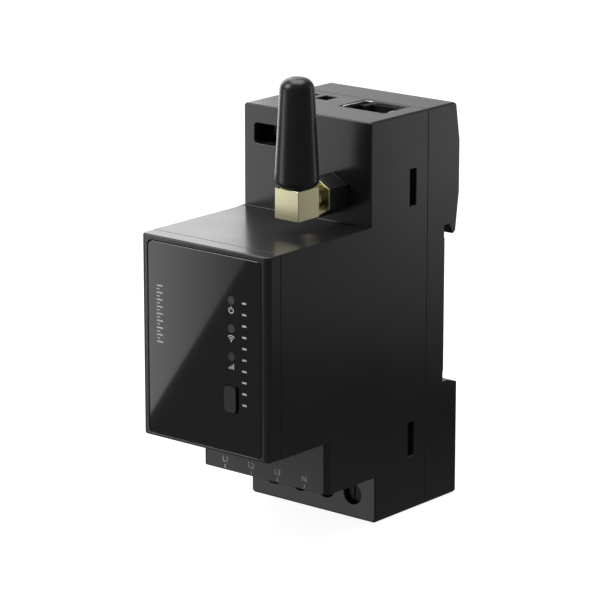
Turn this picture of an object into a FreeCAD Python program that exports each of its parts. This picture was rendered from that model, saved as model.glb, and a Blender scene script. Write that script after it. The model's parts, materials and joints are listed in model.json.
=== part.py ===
import FreeCAD, Part
import math
import os
import re
import Sketcher

# Two-module energy meter for a 35 mm rail. Millimetres, +Z up, front towards -Y. The origin is the
# middle of the flat seat that rests on the rail, so the rail's face lies in the plane y = 0.

SIZES = {
    # casing
    "width": 35.6, "height": 90.0, "wall": 1.6, "fit_gap": 0.1, "room": 0.3,
    "rail_to_front": 60.2, "rail_to_upper": 26.3, "rail_to_lower": 24.1, "rail_to_terminals": 40.7,
    "block_top": 22.0, "block_bottom": 22.6, "terminals_bottom": 34.4,
    "cover_depth": 4.0, "base_depth": 6.4, "corner_round": 1.3, "edge_round": 0.4, "side_round": 0.8,
    # rail notch, hook and latch
    "rail_width": 35.0, "rail_play": 0.35, "rail_lip_gap": 1.6, "hook_drop": 2.4, "hook_face": 2.9,
    "hook_back": 3.8, "hook_slant": 0.6, "seat_step": 0.2, "seat_clear": 0.35, "back_top": 3.6,
    "back_bulge": 5.0, "bulge_low": 24.8, "bulge_high": 36.2, "back_low": 4.9, "ledge_slope": 1.0,
    "latch_width": 9.6, "latch_thick": 2.1, "latch_near": 1.4, "latch_bite": 2.0, "latch_nose": 0.4,
    "latch_slot": 2.6, "latch_slot_high": 22.2, "latch_slot_low": 32.2, "latch_grip": 6.0,
    "latch_grip_high": 41.2, "latch_grip_low": 43.6, "latch_window_top": 39.5, "latch_lip": 0.8,
    "stop_thick": 1.0, "stop_reach": 0.5, "spring_wire": 0.34, "spring_outer": 1.9,
    "spring_turns": 7.0, "spring_gap": 0.1,
    # snap hooks of the rear base and their windows in the housing
    "snap_front": 47.5, "snap_depth": 2.2, "snap_thick": 1.2, "snap_bump": 0.5,
    "root_rise": 0.2, "root_grip": 0.4,
    "snap_low": 24.4, "snap_high": 32.6, "snap_low_foot": 24.6, "snap_high_foot": 32.4,
    # front panel, lights and button
    "panel_side": 2.0, "panel_above": 1.2, "panel_below": 0.8, "panel_thick": 1.0, "panel_round": 1.3,
    "cover_wall": 1.2, "tongue_depth": 1.6, "tongue_wall": 0.9, "control_x": 7.6, "lens_high": 11.3,
    "lens_pitch": 6.1, "lens_bore": 1.9, "lens_flange": 2.8, "lens_flange_thick": 0.5,
    "button_z": 10.1, "button_width": 3.2, "button_height": 5.6, "button_round": 0.8,
    "button_proud": 0.6, "button_travel": 0.5, "button_flange": 0.7, "button_flange_edge": 0.5,
    "button_stem": 2.0, "press_gap": 0.05,
    # boards and what they carry
    "board_thick": 1.2, "board_seat": 0.2, "display_set": 7.0, "led_height": 0.8,
    "led_width": 1.6, "led_length": 1.0,
    "switch_size": 4.5, "switch_thick": 1.6, "plunger": 2.0, "plunger_proud": 1.0,
    "plunger_root": 0.4, "link_size": 2.5, "link_length": 14.0,
    "core_x": 12.4, "core_y": 14.0, "core_z": 13.0, "core_leg": 3.4, "core_yoke": 3.0,
    "core_behind_front": 28.0, "core_low": 7.0, "coil_proud": 1.8, "coil_slack": 0.2,
    "cap_bore": 8.0, "cap_length": 12.0, "cap_behind_front": 17.0, "cap_high": 8.0,
    "fuse_bore": 3.6, "fuse_length": 10.0, "fuse_z": 15.0, "fuse_y": 12.0,
    "varistor_bore": 7.0, "varistor_thick": 3.4, "varistor_y": 27.0,
    "radio_width": 16.0, "radio_high": 14.0, "radio_low": 4.0, "radio_thick": 0.8,
    "can_edge": 1.0, "can_high": 1.8, "can_wall": 0.2,
    "chip_size": 7.0, "chip_thick": 1.2, "chip_z": 13.0,
    "barrier_x": 1.0, "barrier_thick": 0.8, "barrier_front": 11.0, "barrier_rear": 2.0,
    # mains terminals
    "terminal_pitch": 7.53, "terminal_wall": 1.13, "terminal_rise": 5.6, "screw_bore": 4.8,
    "screw_head": 4.3, "head_depth": 2.2, "screw_shank": 3.0, "thread_gap": 0.1, "screw_slot": 0.7,
    "slot_depth": 0.9, "screw_recess": 1.1, "seat_wall": 0.6, "cage_side": 0.8,
    "cage_nut": 1.6, "cage_height": 6.4, "cage_gap": 0.2, "clamp_travel": 2.2, "wire_room": 4.4,
    "busbar_side": 0.2, "busbar_thick": 1.0, "tongue_gap": 0.6, "insert_floor": 0.9,
    "insert_back": 1.2, "insert_top": 33.5, "insert_roof": 1.5, "entry_width": 5.2, "entry_depth": 5.0,
    "entry_rim": 0.8, "foot_sink": 0.2,
    "busbar_top": 23.6, "sensor_gap": 0.33, "sensor_slack": 0.8, "sensor_height": 3.4,
    "sensor_low": 30.0,
    # network socket
    "socket_x": 7.1, "socket_behind": 14.55, "socket_width": 11.5, "socket_deep": 8.2,
    "socket_high": 12.4, "shield_wall": 0.3, "insert_wall": 0.2, "insert_set": 0.5, "socket_sink": 0.2,
    "socket_floor": 1.2, "key_width": 7.4, "key_deep": 2.1, "contact_count": 8.0,
    "contact_pitch": 1.02, "contact_wide": 0.4, "contact_high": 8.5, "contact_set": 0.5,
    # signal terminal
    "signal_left": 5.75, "signal_pitch": 5.08, "signal_behind": 13.1, "signal_hole_x": 3.4,
    "signal_hole_y": 4.3, "signal_hole_z": 8.0, "signal_clear": 0.2, "signal_edge": 2.0,
    "signal_screw": 3.4, "signal_shank": 2.2, "signal_head": 1.3, "signal_screw_z": 6.4,
    "signal_recess": 3.2, "signal_reach": 0.4, "signal_plate": 0.6, "window_left": 3.0,
    "window_width": 10.6,
    "window_drop": 4.15, "window_high": 4.5, "window_round": 0.8,
    # antenna
    "antenna_x": 8.0, "antenna_z": 28.6, "jack_thread": 6.35, "jack_out": 4.3, "jack_flange_step": 1.025,
    "jack_flange_thick": 1.4, "jack_tail": 4.2, "insulator_bore": 0.9, "insulator_outer": 4.1,
    "insulator_long": 3.0, "insulator_floor": 0.5, "panel_nut_wall": 0.825, "panel_nut_thick": 1.1,
    "nut_wall": 0.675,
    "boot_wall": 0.2, "boot_short": 0.4, "nut_gap": 1.25, "nut_length": 5.5, "nut_front": 1.35,
    "neck_bore": 4.0, "neck_gap": 0.1, "neck_flange": 5.4, "neck_flange_thick": 0.9,
    "neck_length": 2.65, "collar_bore": 5.6, "collar_thick": 1.0, "collar_step": 0.5,
    "elbow_x": 6.6, "elbow_y": 6.9, "elbow_z": 6.7, "stub_bore": 4.0, "stub_high": 3.0,
    "sleeve_neck": 7.9, "sleeve_wide": 9.6, "sleeve_tip": 7.5, "sleeve_flare": 1.3,
    "sleeve_high": 23.6, "sleeve_dome": 2.6, "sleeve_bore": 4.6, "sleeve_end": 3.0,
    "radiator_outer": 3.4, "radiator_wire": 0.5, "radiator_turns": 7.0, "radiator_step": 0.4,
    "coil_lift": 0.2,
}

PLACES = {
    "side": "width / 2",
    "inside": "width / 2 - wall",
    "top": "height / 2",
    "front": "-rail_to_front",
    "cover_seam": "cover_depth - rail_to_front",
    "upper_face": "-rail_to_upper",
    "lower_face": "-rail_to_lower",
    "terminal_face": "-rail_to_terminals",
    "rear_seam": "-base_depth",
    "notch_top": "rail_width / 2 + rail_play",
    "notch_low": "-rail_width / 2 - rail_play",
    "seat_high": "notch_top - hook_drop - seat_clear",
    "seat_low": "notch_low + latch_bite + seat_clear",
    # front block
    "panel_back": "panel_thick - rail_to_front",
    "cover_back": "panel_thick + cover_wall - rail_to_front",
    "display_front": "display_set - rail_to_front",
    "display_back": "display_set + board_thick - rail_to_front",
    # main board, held in the mouth of the rear base
    "board_front": "board_seat - base_depth",
    "board_back": "board_seat - base_depth + board_thick",
    "board_side": "width / 2 - wall - snap_thick - room",
    "power_left": "wall + room - width / 2",
    "power_right": "wall + room + board_thick - width / 2",
    # one mains terminal, from its screw back to the cage
    "head_front": "screw_recess - rail_to_lower",
    "head_back": "screw_recess + head_depth - rail_to_lower",
    "chamber_front": "head_back + seat_wall",
    "cage_front": "chamber_front + clamp_travel + cage_gap",
    "cage_throat": "cage_front + cage_nut",
    "bar_front": "cage_throat + tongue_gap",
    "bar_back": "bar_front + busbar_thick",
    "cage_rest": "bar_back + wire_room",
    "cage_back": "cage_rest + cage_side",
    "entry_y": "(bar_back + cage_rest) / 2",
    "chamber_back": "cage_back + cage_gap",
    "chamber_floor": "wall + fit_gap + insert_floor - height / 2",
    "cage_floor": "chamber_floor + cage_gap",
    "cage_width": "terminal_pitch - terminal_wall - 2 * cage_gap",
    "busbar_width": "cage_width - 2 * cage_side - 2 * busbar_side",
    "screw_z": "terminal_rise - height / 2",
    "chamber_top": "-insert_top - insert_roof",
    # network socket
    "socket_y": "socket_behind - rail_to_upper",
    "socket_top": "height / 2 - socket_sink",
    "lining": "shield_wall + insert_wall",
    # signal terminal
    "signal_top": "height / 2 - wall - fit_gap",
    "signal_front": "wall + fit_gap - rail_to_upper",
    "signal_y": "signal_behind + signal_hole_y / 2 - rail_to_upper",
    "signal_axis": "height / 2 - signal_screw_z",
    # antenna, counted forward from the upper shoulder
    "nut_flats": "jack_thread + 2 * nut_wall",
    "boot_flats": "nut_flats + 2 * boot_wall",
    "nut_back": "upper_face - nut_gap",
    "nut_face": "nut_back - nut_length",
    "elbow_back": "nut_face - neck_length",
    "mast_y": "elbow_back - elbow_y / 2",
    "elbow_top": "antenna_z + elbow_z / 2",
}

RIGHT, BACK, UP = FreeCAD.Vector(1, 0, 0), FreeCAD.Vector(0, 1, 0), FreeCAD.Vector(0, 0, 1)

doc = FreeCAD.newDocument("meter")
sheet = doc.addObject("Spreadsheet::Sheet", "Dims")
parts = []


def fill_sheet():
    """Writes every driving size into the sheet under its own alias."""
    for row, (name, value) in enumerate(SIZES.items(), start=1):
        cell = "B%d" % row
        sheet.set("A%d" % row, name)
        sheet.set(cell, "%g" % value)
        sheet.setAlias(cell, name)
    doc.recompute()


def tied(expression):
    """Turns plain size names into references to the sheet, with each named place spelled out."""
    def reference(match):
        word = match.group()
        if word in PLACES:
            return "(" + tied(PLACES[word]) + ")"
        return "Dims." + word if word in SIZES else word
    return re.sub(r"[a-z][a-z_0-9]*", reference, expression)


def bind(thing, **sizes):
    for name, expression in sizes.items():
        thing.setExpression(name, tied(expression))


def put(thing, x, y, z):
    for axis, expression in zip("xyz", (x, y, z)):
        thing.setExpression("Placement.Base." + axis, tied(expression))


def box(name, x, y, z):
    """A block between two places along each axis."""
    block = doc.addObject("Part::Box", name)
    for size, (start, end) in zip(("Length", "Width", "Height"), (x, y, z)):
        block.setExpression(size, tied("(%s) - (%s)" % (end, start)))
    put(block, x[0], y[0], z[0])
    return block


def centred(middle, extent):
    return ("%s - (%s) / 2" % (middle, extent), "%s + (%s) / 2" % (middle, extent))


def turned(way):
    return FreeCAD.Placement(FreeCAD.Vector(), FreeCAD.Rotation(UP, way))


def rod(name, diameter, length, start, way=UP):
    """A round bar from its start point along one axis."""
    bar = doc.addObject("Part::Cylinder", name)
    bar.Placement = turned(way)
    bind(bar, Radius="(%s) / 2" % diameter, Height=length)
    put(bar, *start)
    return bar


def taper(name, low, high, length, start):
    cone = doc.addObject("Part::Cone", name)
    bind(cone, Radius1="(%s) / 2" % low, Radius2="(%s) / 2" % high, Height=length)
    put(cone, *start)
    return cone


def hexagon(name, flats, length, start):
    """A hexagonal bar along +Y with two of its flats upright."""
    bar = doc.addObject("Part::Prism", name)
    bar.Polygon = 6
    corner_up = FreeCAD.Rotation(UP, 90)
    bar.Placement = FreeCAD.Placement(FreeCAD.Vector(), FreeCAD.Rotation(UP, BACK).multiply(corner_up))
    bind(bar, Circumradius="(%s) / sqrt(3)" % flats, Height=length)
    put(bar, *start)
    return bar


def join(name, *pieces):
    whole = doc.addObject("Part::MultiFuse", name)
    whole.Shapes = list(pieces)
    whole.Refine = True
    return whole


def cut(name, base, *tools):
    result = doc.addObject("Part::Cut", name)
    result.Base = base
    result.Tool = tools[0] if len(tools) == 1 else join(name + "_tools", *tools)
    return result


def together(name, *pieces):
    """Several separate solids kept as one sub-part."""
    group = doc.addObject("Part::Compound", name)
    group.Links = list(pieces)
    return group


def edge_names(shape, wanted):
    """Names of the edges whose middle and direction pass the given test."""
    found = []
    for number, edge in enumerate(shape.Edges, start=1):
        way = edge.Vertexes[-1].Point - edge.Vertexes[0].Point
        if way.Length > 0:
            way.normalize()
        if wanted(edge.CenterOfMass, way):
            found.append("Edge%d" % number)
    return found


def soften(name, base, radius, wanted):
    """Rounds chosen edges of a primitive or a boolean result; the radius is a size of the sheet."""
    doc.recompute()
    rounded = doc.addObject("Part::Fillet", name)
    rounded.Base = base
    value = sheet.get(radius)
    rounded.Edges = [(int(edge[4:]), value, value) for edge in edge_names(base.Shape, wanted)]
    return rounded


def keep(name, thing):
    """Makes this object the sub-part called name."""
    thing.Label = name
    parts.append(thing)
    return thing


def origin_plane(body, role):
    return next(item for item in body.Origin.OriginFeatures if item.Role == role)


def polygon(body, role, corners):
    """A closed sketch whose every corner is held by two named distances."""
    sketch = body.newObject("Sketcher::SketchObject", body.Name + "_outline")
    sketch.AttachmentSupport = [(origin_plane(body, role), "")]
    sketch.MapMode = "FlatFace"
    count = len(corners)
    turn = 2 * math.pi / count
    rough = [FreeCAD.Vector(math.cos(turn * i), math.sin(turn * i), 0) for i in range(count)]
    for i in range(count):
        sketch.addGeometry(Part.LineSegment(rough[i], rough[(i + 1) % count]))
    for i in range(count):
        sketch.addConstraint(Sketcher.Constraint("Coincident", i, 2, (i + 1) % count, 1))
    for i, corner in enumerate(corners):
        for kind, value, expression in zip(("DistanceX", "DistanceY"), rough[i], corner):
            number = sketch.addConstraint(Sketcher.Constraint(kind, -1, 1, i, 1, value))
            sketch.setExpression("Constraints[%d]" % number, tied(expression))
    return sketch


def pad(body, sketch, length):
    feature = body.newObject("PartDesign::Pad", body.Name + "_pad")
    feature.Profile = sketch
    feature.SideType = "Symmetric"
    bind(feature, Length=length)
    doc.recompute()
    return feature


def pocket(body, sketch, length):
    """A symmetric pocket; it must take material away."""
    before = body.Shape.Volume
    feature = body.newObject("PartDesign::Pocket", body.Name + "_pocket")
    feature.Profile = sketch
    feature.SideType = "Symmetric"
    bind(feature, Length=length)
    doc.recompute()
    if body.Shape.Volume > before - 1:
        raise ValueError(body.Name + ": the pocket removed nothing")
    return feature


def fillet(body, feature, radius, wanted):
    edges = edge_names(feature.Shape, wanted)
    rounding = body.newObject("PartDesign::Fillet", body.Name + "_" + radius)
    rounding.Base = (feature, edges)
    bind(rounding, Radius=radius)
    doc.recompute()
    return rounding


def at_side(middle):
    return abs(abs(middle.x) - SIZES["width"] / 2) < 0.01


# ---------------------------------------------------------------- casing


def housing_shell():
    """Stepped tube: upper shoulder, front block, terminal legend block and lower shoulder."""
    body = doc.addObject("PartDesign::Body", "housing_shell")
    outline = polygon(body, "YZ_Plane", [
        ("cover_seam", "block_top"), ("upper_face", "block_top"), ("upper_face", "top"),
        ("rear_seam", "top"), ("rear_seam", "-top"), ("lower_face", "-top"),
        ("lower_face", "-terminals_bottom"), ("terminal_face", "-terminals_bottom"),
        ("terminal_face", "-block_bottom"), ("cover_seam", "-block_bottom")])
    solid = pad(body, outline, "width")
    legend_y, legend_z = -SIZES["rail_to_terminals"], SIZES["block_bottom"]
    solid = fillet(body, solid, "corner_round",
                   lambda middle, way: at_side(middle) and abs(way.z) > 0.9
                   and abs(middle.y - legend_y) < 0.01 and middle.z < -legend_z)
    top = SIZES["height"] / 2
    solid = fillet(body, solid, "side_round",
                   lambda middle, way: at_side(middle) and abs(way.y) > 0.9
                   and abs(abs(middle.z) - top) < 0.01)
    solid = fillet(body, solid, "edge_round",
                   lambda middle, way: at_side(middle) and abs(way.z) > 0.9
                   and -SIZES["rail_to_upper"] - 0.01 < middle.y < -SIZES["base_depth"] - 1)
    hollow = polygon(body, "YZ_Plane", [
        ("cover_seam - 1", "block_top - wall"), ("upper_face + wall", "block_top - wall"),
        ("upper_face + wall", "top - wall"), ("rear_seam + 1", "top - wall"),
        ("rear_seam + 1", "wall - top"), ("lower_face + wall", "wall - top"),
        ("lower_face + wall", "wall - terminals_bottom"),
        ("terminal_face + wall", "wall - terminals_bottom"),
        ("terminal_face + wall", "wall - block_bottom"), ("cover_seam - 1", "wall - block_bottom")])
    pocket(body, hollow, "width - 2 * wall")
    return body


def terminal_x(number):
    """Middle of mains terminal 0 to 3, counted from the left."""
    return "(%g * terminal_pitch)" % (number - 1.5)


def signal_x(number):
    return "(signal_left + %d * signal_pitch - width / 2)" % number


def snap_windows():
    """Four openings in the side walls that the snap hooks of the rear base fill."""
    across = ("-side - 1", "side + 1")
    along = ("snap_front - rail_to_front", "snap_front + snap_depth - rail_to_front")
    return [box("window_high", across, along, ("snap_low", "snap_high")),
            box("window_low", across, along, ("-snap_high_foot", "-snap_low_foot"))]


def window_tool(start, end):
    """Round-cornered window through which the two signal screws are reached."""
    window = box("signal_window", ("window_left - side", "window_left + window_width - side"),
                 (start, end), ("top - window_drop - window_high", "top - window_drop"))
    return soften("signal_window_round", window, "window_round",
                  lambda middle, way: abs(way.y) > 0.9)


def foot_window(grow):
    """Opening in the bottom wall that the foot of the terminal insert fills, grown by a gap."""
    return (centred("0", "3 * terminal_pitch + entry_width + 2 * entry_rim + 2 * " + grow),
            centred("entry_y", "entry_depth + 2 * entry_rim + 2 * " + grow))


def front_housing():
    tools = snap_windows()
    for number in range(4):
        x = terminal_x(number)
        tools.append(rod("screw_access", "screw_bore", "wall + 2", (x, "lower_face - 1",
                                                                  "screw_z"), BACK))
    across, along = foot_window("fit_gap")
    tools.append(box("foot_window", across, along, ("-top - 1", "wall - top + 1")))
    tools.append(box("socket_mouth", centred("socket_x", "socket_width + 2 * lining + 2 * fit_gap"),
                     centred("socket_y", "socket_deep + 2 * lining + 2 * fit_gap"),
                     ("top - wall - 1", "top + 1")))
    for number in range(2):
        tools.append(box("signal_mouth", centred(signal_x(number), "signal_hole_x"),
                         centred("signal_y", "signal_hole_y"), ("top - wall - 1", "top + 1")))
    tools.append(window_tool("upper_face - 1", "upper_face + wall + 1"))
    tools.append(rod("jack_hole", "jack_thread + 2 * fit_gap", "wall + 2",
                     ("antenna_x", "upper_face - 1", "antenna_z"), BACK))
    keep("front_housing", cut("front_housing", housing_shell(), *tools))


def panel_frame(grow):
    """Where the front panel lies, grown by a gap, as x and z spans."""
    across = centred("0", "width - 2 * panel_side + 2 * %s" % grow)
    return across, ("panel_below - block_bottom - %s" % grow, "block_top - panel_above + %s" % grow)


def lens_z(number):
    return "lens_high - %d * lens_pitch" % number


def control_holes(start, end, gap):
    """Round holes for the three lights and the button's opening."""
    length = "(%s) - (%s)" % (end, start)
    holes = [rod("lens_hole", "lens_bore + 2 * " + gap, length, ("control_x", start, lens_z(n)), BACK)
             for n in range(3)]
    holes.append(box("button_hole", centred("control_x", "button_width + 2 * " + gap), (start, end),
                     centred("-button_z", "button_height + 2 * " + gap)))
    return holes


def front_cover():
    """Front 4 mm of the front block: a tray with a recess for the panel and a rear tongue."""
    span = ("-side", "side")
    block = box("cover_block", span, ("front", "cover_seam"), ("-block_bottom", "block_top"))
    front = -SIZES["rail_to_front"]
    block = soften("cover_corners", block, "corner_round",
                   lambda middle, way: abs(way.z) > 0.9 and abs(middle.y - front) < 0.01)
    block = soften("cover_edges", block, "edge_round",
                   lambda middle, way: abs(way.x) > 0.9 and abs(middle.y - front) < 0.01)
    inner = centred("0", "width - 2 * wall - 2 * fit_gap")
    tongue = box("cover_tongue", inner, ("cover_seam - 1", "cover_seam + tongue_depth"),
                 ("wall + fit_gap - block_bottom", "block_top - wall - fit_gap"))
    hollow = box("cover_hollow", centred("0", "width - 2 * (wall + fit_gap + tongue_wall)"),
                 ("cover_back", "cover_seam + tongue_depth + 1"),
                 ("wall + fit_gap + tongue_wall - block_bottom",
                  "block_top - wall - fit_gap - tongue_wall"))
    across, upwards = panel_frame("fit_gap")
    recess = box("panel_recess", across, ("front - 1", "panel_back"), upwards)
    recess = soften("panel_recess_round", recess, "panel_round", lambda middle, way: abs(way.y) > 0.9)
    holes = control_holes("panel_back - 1", "cover_back + 1", "fit_gap")
    keep("front_cover", cut("front_cover", join("cover_solid", block, tongue), hollow, recess, *holes))


def front_panel():
    across, upwards = panel_frame("0")
    plate = box("panel_plate", across, ("front", "panel_back"), upwards)
    plate = soften("panel_corners", plate, "panel_round", lambda middle, way: abs(way.y) > 0.9)
    keep("front_panel", cut("front_panel", plate, *control_holes("front - 1", "panel_back + 1",
                                                                "fit_gap")))


def base_shell():
    """Rear base: the rail seat, the fixed hook above it and the ledge below it."""
    body = doc.addObject("PartDesign::Body", "base_shell")
    outline = polygon(body, "YZ_Plane", [
        ("rear_seam", "top"), ("back_top", "top"), ("back_bulge", "bulge_high"),
        ("back_bulge", "bulge_low"), ("hook_back", "notch_top - hook_drop + hook_slant"),
        ("hook_face", "notch_top - hook_drop"), ("rail_lip_gap", "notch_top"),
        ("-seat_step", "notch_top"), ("-seat_step", "seat_high"), ("0", "seat_high"),
        ("0", "seat_low"), ("-seat_step", "seat_low"), ("-seat_step", "notch_low"),
        ("rail_lip_gap", "notch_low"), ("back_low", "notch_low - ledge_slope"),
        ("back_low", "-top"), ("rear_seam", "-top")])
    solid = pad(body, outline, "width")
    top = SIZES["height"] / 2
    solid = fillet(body, solid, "side_round",
                   lambda middle, way: abs(abs(middle.z) - top) < 0.01
                   and (at_side(middle) and abs(way.y) > 0.9 or middle.y > 0 and abs(way.x) > 0.9))
    hollow = polygon(body, "YZ_Plane", [
        ("rear_seam - 1", "top - wall"), ("back_top - wall", "top - wall"),
        ("back_top - wall", "notch_top + wall"), ("-wall", "notch_top + wall"),
        ("-wall", "wall - top"), ("rear_seam - 1", "wall - top")])
    pocket(body, hollow, "width - 2 * wall")
    return body


def snap_hook(side, low, high):
    """One spring arm that reaches into the housing, with the bump that fills its window."""
    near, far = ("inside - fit_gap - snap_thick", "inside - fit_gap")
    arm = ("snap_front - rail_to_front", "-wall - 1")
    bump = ("snap_front + fit_gap - rail_to_front", "snap_front + snap_depth - fit_gap - rail_to_front")
    root = ("rear_seam + root_rise", "root_rise - wall")
    spans = [((near, far), arm), ((near, "inside - fit_gap + snap_bump"), bump),
             ((near, "inside + root_grip"), root)]
    if side < 0:
        spans = [(("-(%s)" % across[1], "-(%s)" % across[0]), along) for across, along in spans]
    upwards = (low + " + fit_gap", high + " - fit_gap")
    return [box("snap_piece", across, along, upwards) for across, along in spans]


def latch_tunnel():
    """Channel that the latch slides in, open at the ledge and at the bottom."""
    across = centred("0", "latch_width + 2 * fit_gap")
    tunnel = box("latch_tunnel", across, ("latch_near - fit_gap", "latch_near + latch_thick + fit_gap"),
                 ("-top - 1", "notch_low + 1"))
    window = box("latch_window", centred("0", "latch_width - 2 * latch_lip"),
                 ("latch_near", "back_low + 1"), ("-top - 1", "-latch_window_top"))
    return [tunnel, window]


def rear_base():
    hooks = []
    for side in (-1, 1):
        hooks += snap_hook(side, "snap_low", "snap_high")
        hooks += snap_hook(side, "-snap_high_foot", "-snap_low_foot")
    solid = join("base_with_hooks", base_shell(), *hooks)
    cored = cut("base_cored", solid, *latch_tunnel())
    stop = box("spring_stop", centred("0", "latch_slot - 2 * room"),
               ("latch_near - stop_reach", "latch_near + latch_thick + stop_reach"),
               ("room - latch_slot_low", "room + stop_thick - latch_slot_low"))
    keep("rear_base", join("rear_base", cored, stop))


def rail_latch():
    """Sliding foot: its slanted nose holds the lower edge of the rail."""
    body = doc.addObject("PartDesign::Body", "latch_slider")
    far = "latch_near + latch_thick"
    outline = polygon(body, "YZ_Plane", [
        ("latch_near", "room - top"), (far, "room - top"), (far, "notch_low"),
        ("latch_near + latch_nose", "notch_low + latch_bite"), ("latch_near", "notch_low + latch_bite")])
    pad(body, outline, "latch_width")
    reach = ("latch_near - 1", "latch_near + latch_thick + 1")
    slot = box("latch_slot", centred("0", "latch_slot"), reach, ("-latch_slot_low", "-latch_slot_high"))
    grip = box("latch_grip", centred("0", "latch_grip"), reach,
               ("-latch_grip_low", "-latch_grip_high"))
    keep("rail_latch", cut("rail_latch", body, slot, grip))


def coil(name, outer, wire, length, turns, place):
    """A round-wire coil that stands on place; the names give its sizes, the length is a number."""
    thick = SIZES[wire]
    rise = length - thick
    path = Part.makeHelix(rise / SIZES[turns], rise, (SIZES[outer] - thick) / 2)
    start = Part.Wire(Part.makeCircle(thick / 2, path.Vertexes[0].Point, BACK))
    thing = doc.addObject("Part::Feature", name)
    thing.Shape = Part.Wire(path.Edges).makePipeShell([start], True, True)
    x, y, z = place
    put(thing, x, y, "%s + %s / 2" % (z, wire))
    return keep(name, thing)


def latch_spring():
    """Compression spring between the stop of the base and the top of the latch's slot."""
    room = SIZES["latch_slot_low"] - SIZES["latch_slot_high"] - SIZES["room"] - SIZES["stop_thick"]
    coil("latch_spring", "spring_outer", "spring_wire", room - 2 * SIZES["spring_gap"], "spring_turns",
         ("0", "latch_near + latch_thick / 2", "room + stop_thick - latch_slot_low + spring_gap"))


# ---------------------------------------------------------------- front block


def light_pipes():
    for number in range(3):
        z = lens_z(number)
        stem = rod("pipe_stem", "lens_bore", "display_set - led_height - fit_gap",
                   ("control_x", "front", z), BACK)
        flange = rod("pipe_flange", "lens_flange", "lens_flange_thick",
                     ("control_x", "cover_back", z), BACK)
        name = "light_pipe_%d" % (number + 1)
        keep(name, join(name, stem, flange))
        name = "status_led_%d" % (number + 1)
        keep(name, box(name, centred("control_x", "led_width"),
                       ("display_front - led_height", "display_front"), centred(z, "led_length")))


def reset_button():
    """Rounded rectangular key that stands proud of the panel, with a stop flange and a stem."""
    key = box("button_key", centred("control_x", "button_width"),
              ("front - button_proud", "cover_back + fit_gap + button_travel"),
              centred("-button_z", "button_height"))
    key = soften("button_key_round", key, "button_round", lambda middle, way: abs(way.y) > 0.9)
    flange = box("button_flange", centred("control_x", "button_width + 2 * button_flange_edge"),
                 ("cover_back + fit_gap", "cover_back + fit_gap + button_flange"),
                 centred("-button_z", "button_height + 2 * button_flange_edge"))
    stem_end = "display_front - switch_thick - plunger_proud - press_gap"
    stem = rod("button_stem", "button_stem", "%s - cover_back - fit_gap" % stem_end,
               ("control_x", "cover_back + fit_gap", "-button_z"), BACK)
    keep("reset_button", join("reset_button", key, flange, stem))


def tact_switch():
    body = box("switch_body", centred("control_x", "switch_size"),
               ("display_front - switch_thick", "display_front"), centred("-button_z", "switch_size"))
    well_start = "display_front - switch_thick"
    well = rod("switch_well", "plunger + 2 * fit_gap", "plunger_root + button_travel + fit_gap + 1",
               ("control_x", well_start + " - 1", "-button_z"), BACK)
    keep("tact_switch", cut("tact_switch", body, well))
    keep("switch_plunger", rod("switch_plunger", "plunger", "plunger_proud + plunger_root",
                               ("control_x", well_start + " - plunger_proud", "-button_z"), BACK))


def display_board():
    keep("display_board", box("display_board", centred("0", "width - 2 * wall - 2 * room"),
                              ("display_front", "display_back"),
                              ("wall + room - block_bottom", "block_top - wall - room")))


# ---------------------------------------------------------------- boards inside


def main_board():
    keep("main_board", box("main_board", ("-board_side", "board_side"), ("board_front", "board_back"),
                           ("wall + room - top", "top - wall - room")))


def power_board():
    """Upright board along the left wall, between the display board and the main board."""
    keep("power_board", box("power_board", ("power_left", "power_right"),
                            ("display_back + fit_gap", "board_front"),
                            ("wall + 2 * room - block_bottom", "block_top - wall - 2 * room")))
    keep("board_link", box("board_link", ("power_right", "power_right + link_size"),
                           ("display_back", "display_back + link_size"), centred("0", "link_length")))


def transformer():
    """Ferrite core with two windows and a coil round its middle leg."""
    x = ("power_right + coil_proud", "power_right + coil_proud + core_x")
    y = ("core_behind_front - rail_to_front", "core_behind_front + core_y - rail_to_front")
    z = ("-core_low", "core_z - core_low")
    middle = "(power_right + coil_proud + core_x / 2)"
    inner_y = (y[0] + " + core_yoke", y[1] + " - core_yoke")
    through = (z[0] + " - 1", z[1] + " + 1")
    leg = centred(middle, "core_leg")
    window_left = box("core_window", (x[0] + " + core_leg / 2", leg[0]), inner_y, through)
    window_right = box("core_window", (leg[1], x[1] + " - core_leg / 2"), inner_y, through)
    keep("transformer_core", cut("transformer_core", box("core_block", x, y, z),
                                 window_left, window_right))
    coil_x = (x[0] + " + core_leg / 2 + coil_slack", x[1] + " - core_leg / 2 - coil_slack")
    coil_y = (inner_y[0] + " + coil_slack", inner_y[1] + " - coil_slack")
    outer = box("coil_block", coil_x, coil_y, (z[0] + " - coil_proud", z[1] + " + coil_proud"))
    gap = centred(middle, "core_leg + 2 * coil_slack")
    hole = box("coil_hole", gap, (coil_y[0] + " - 1", coil_y[1] + " + 1"),
               (z[0] + " - coil_slack", z[1] + " + coil_slack"))
    keep("transformer_winding", cut("transformer_winding", outer, hole))


def power_parts():
    """Capacitors, fuse and varistor that stand on the power board."""
    y = "cap_behind_front - rail_to_front"
    keep("bulk_capacitor", rod("bulk_capacitor", "cap_bore", "cap_length",
                               ("power_right", y, "cap_high"), RIGHT))
    keep("input_fuse", rod("input_fuse", "fuse_bore", "fuse_length",
                           ("power_right + fuse_bore / 2", "fuse_y - rail_to_front", "-fuse_z"), BACK))
    keep("surge_varistor", rod("surge_varistor", "varistor_bore", "varistor_thick",
                               ("power_right + varistor_bore / 2", "varistor_y - rail_to_front",
                                "-fuse_z"), BACK))


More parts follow.
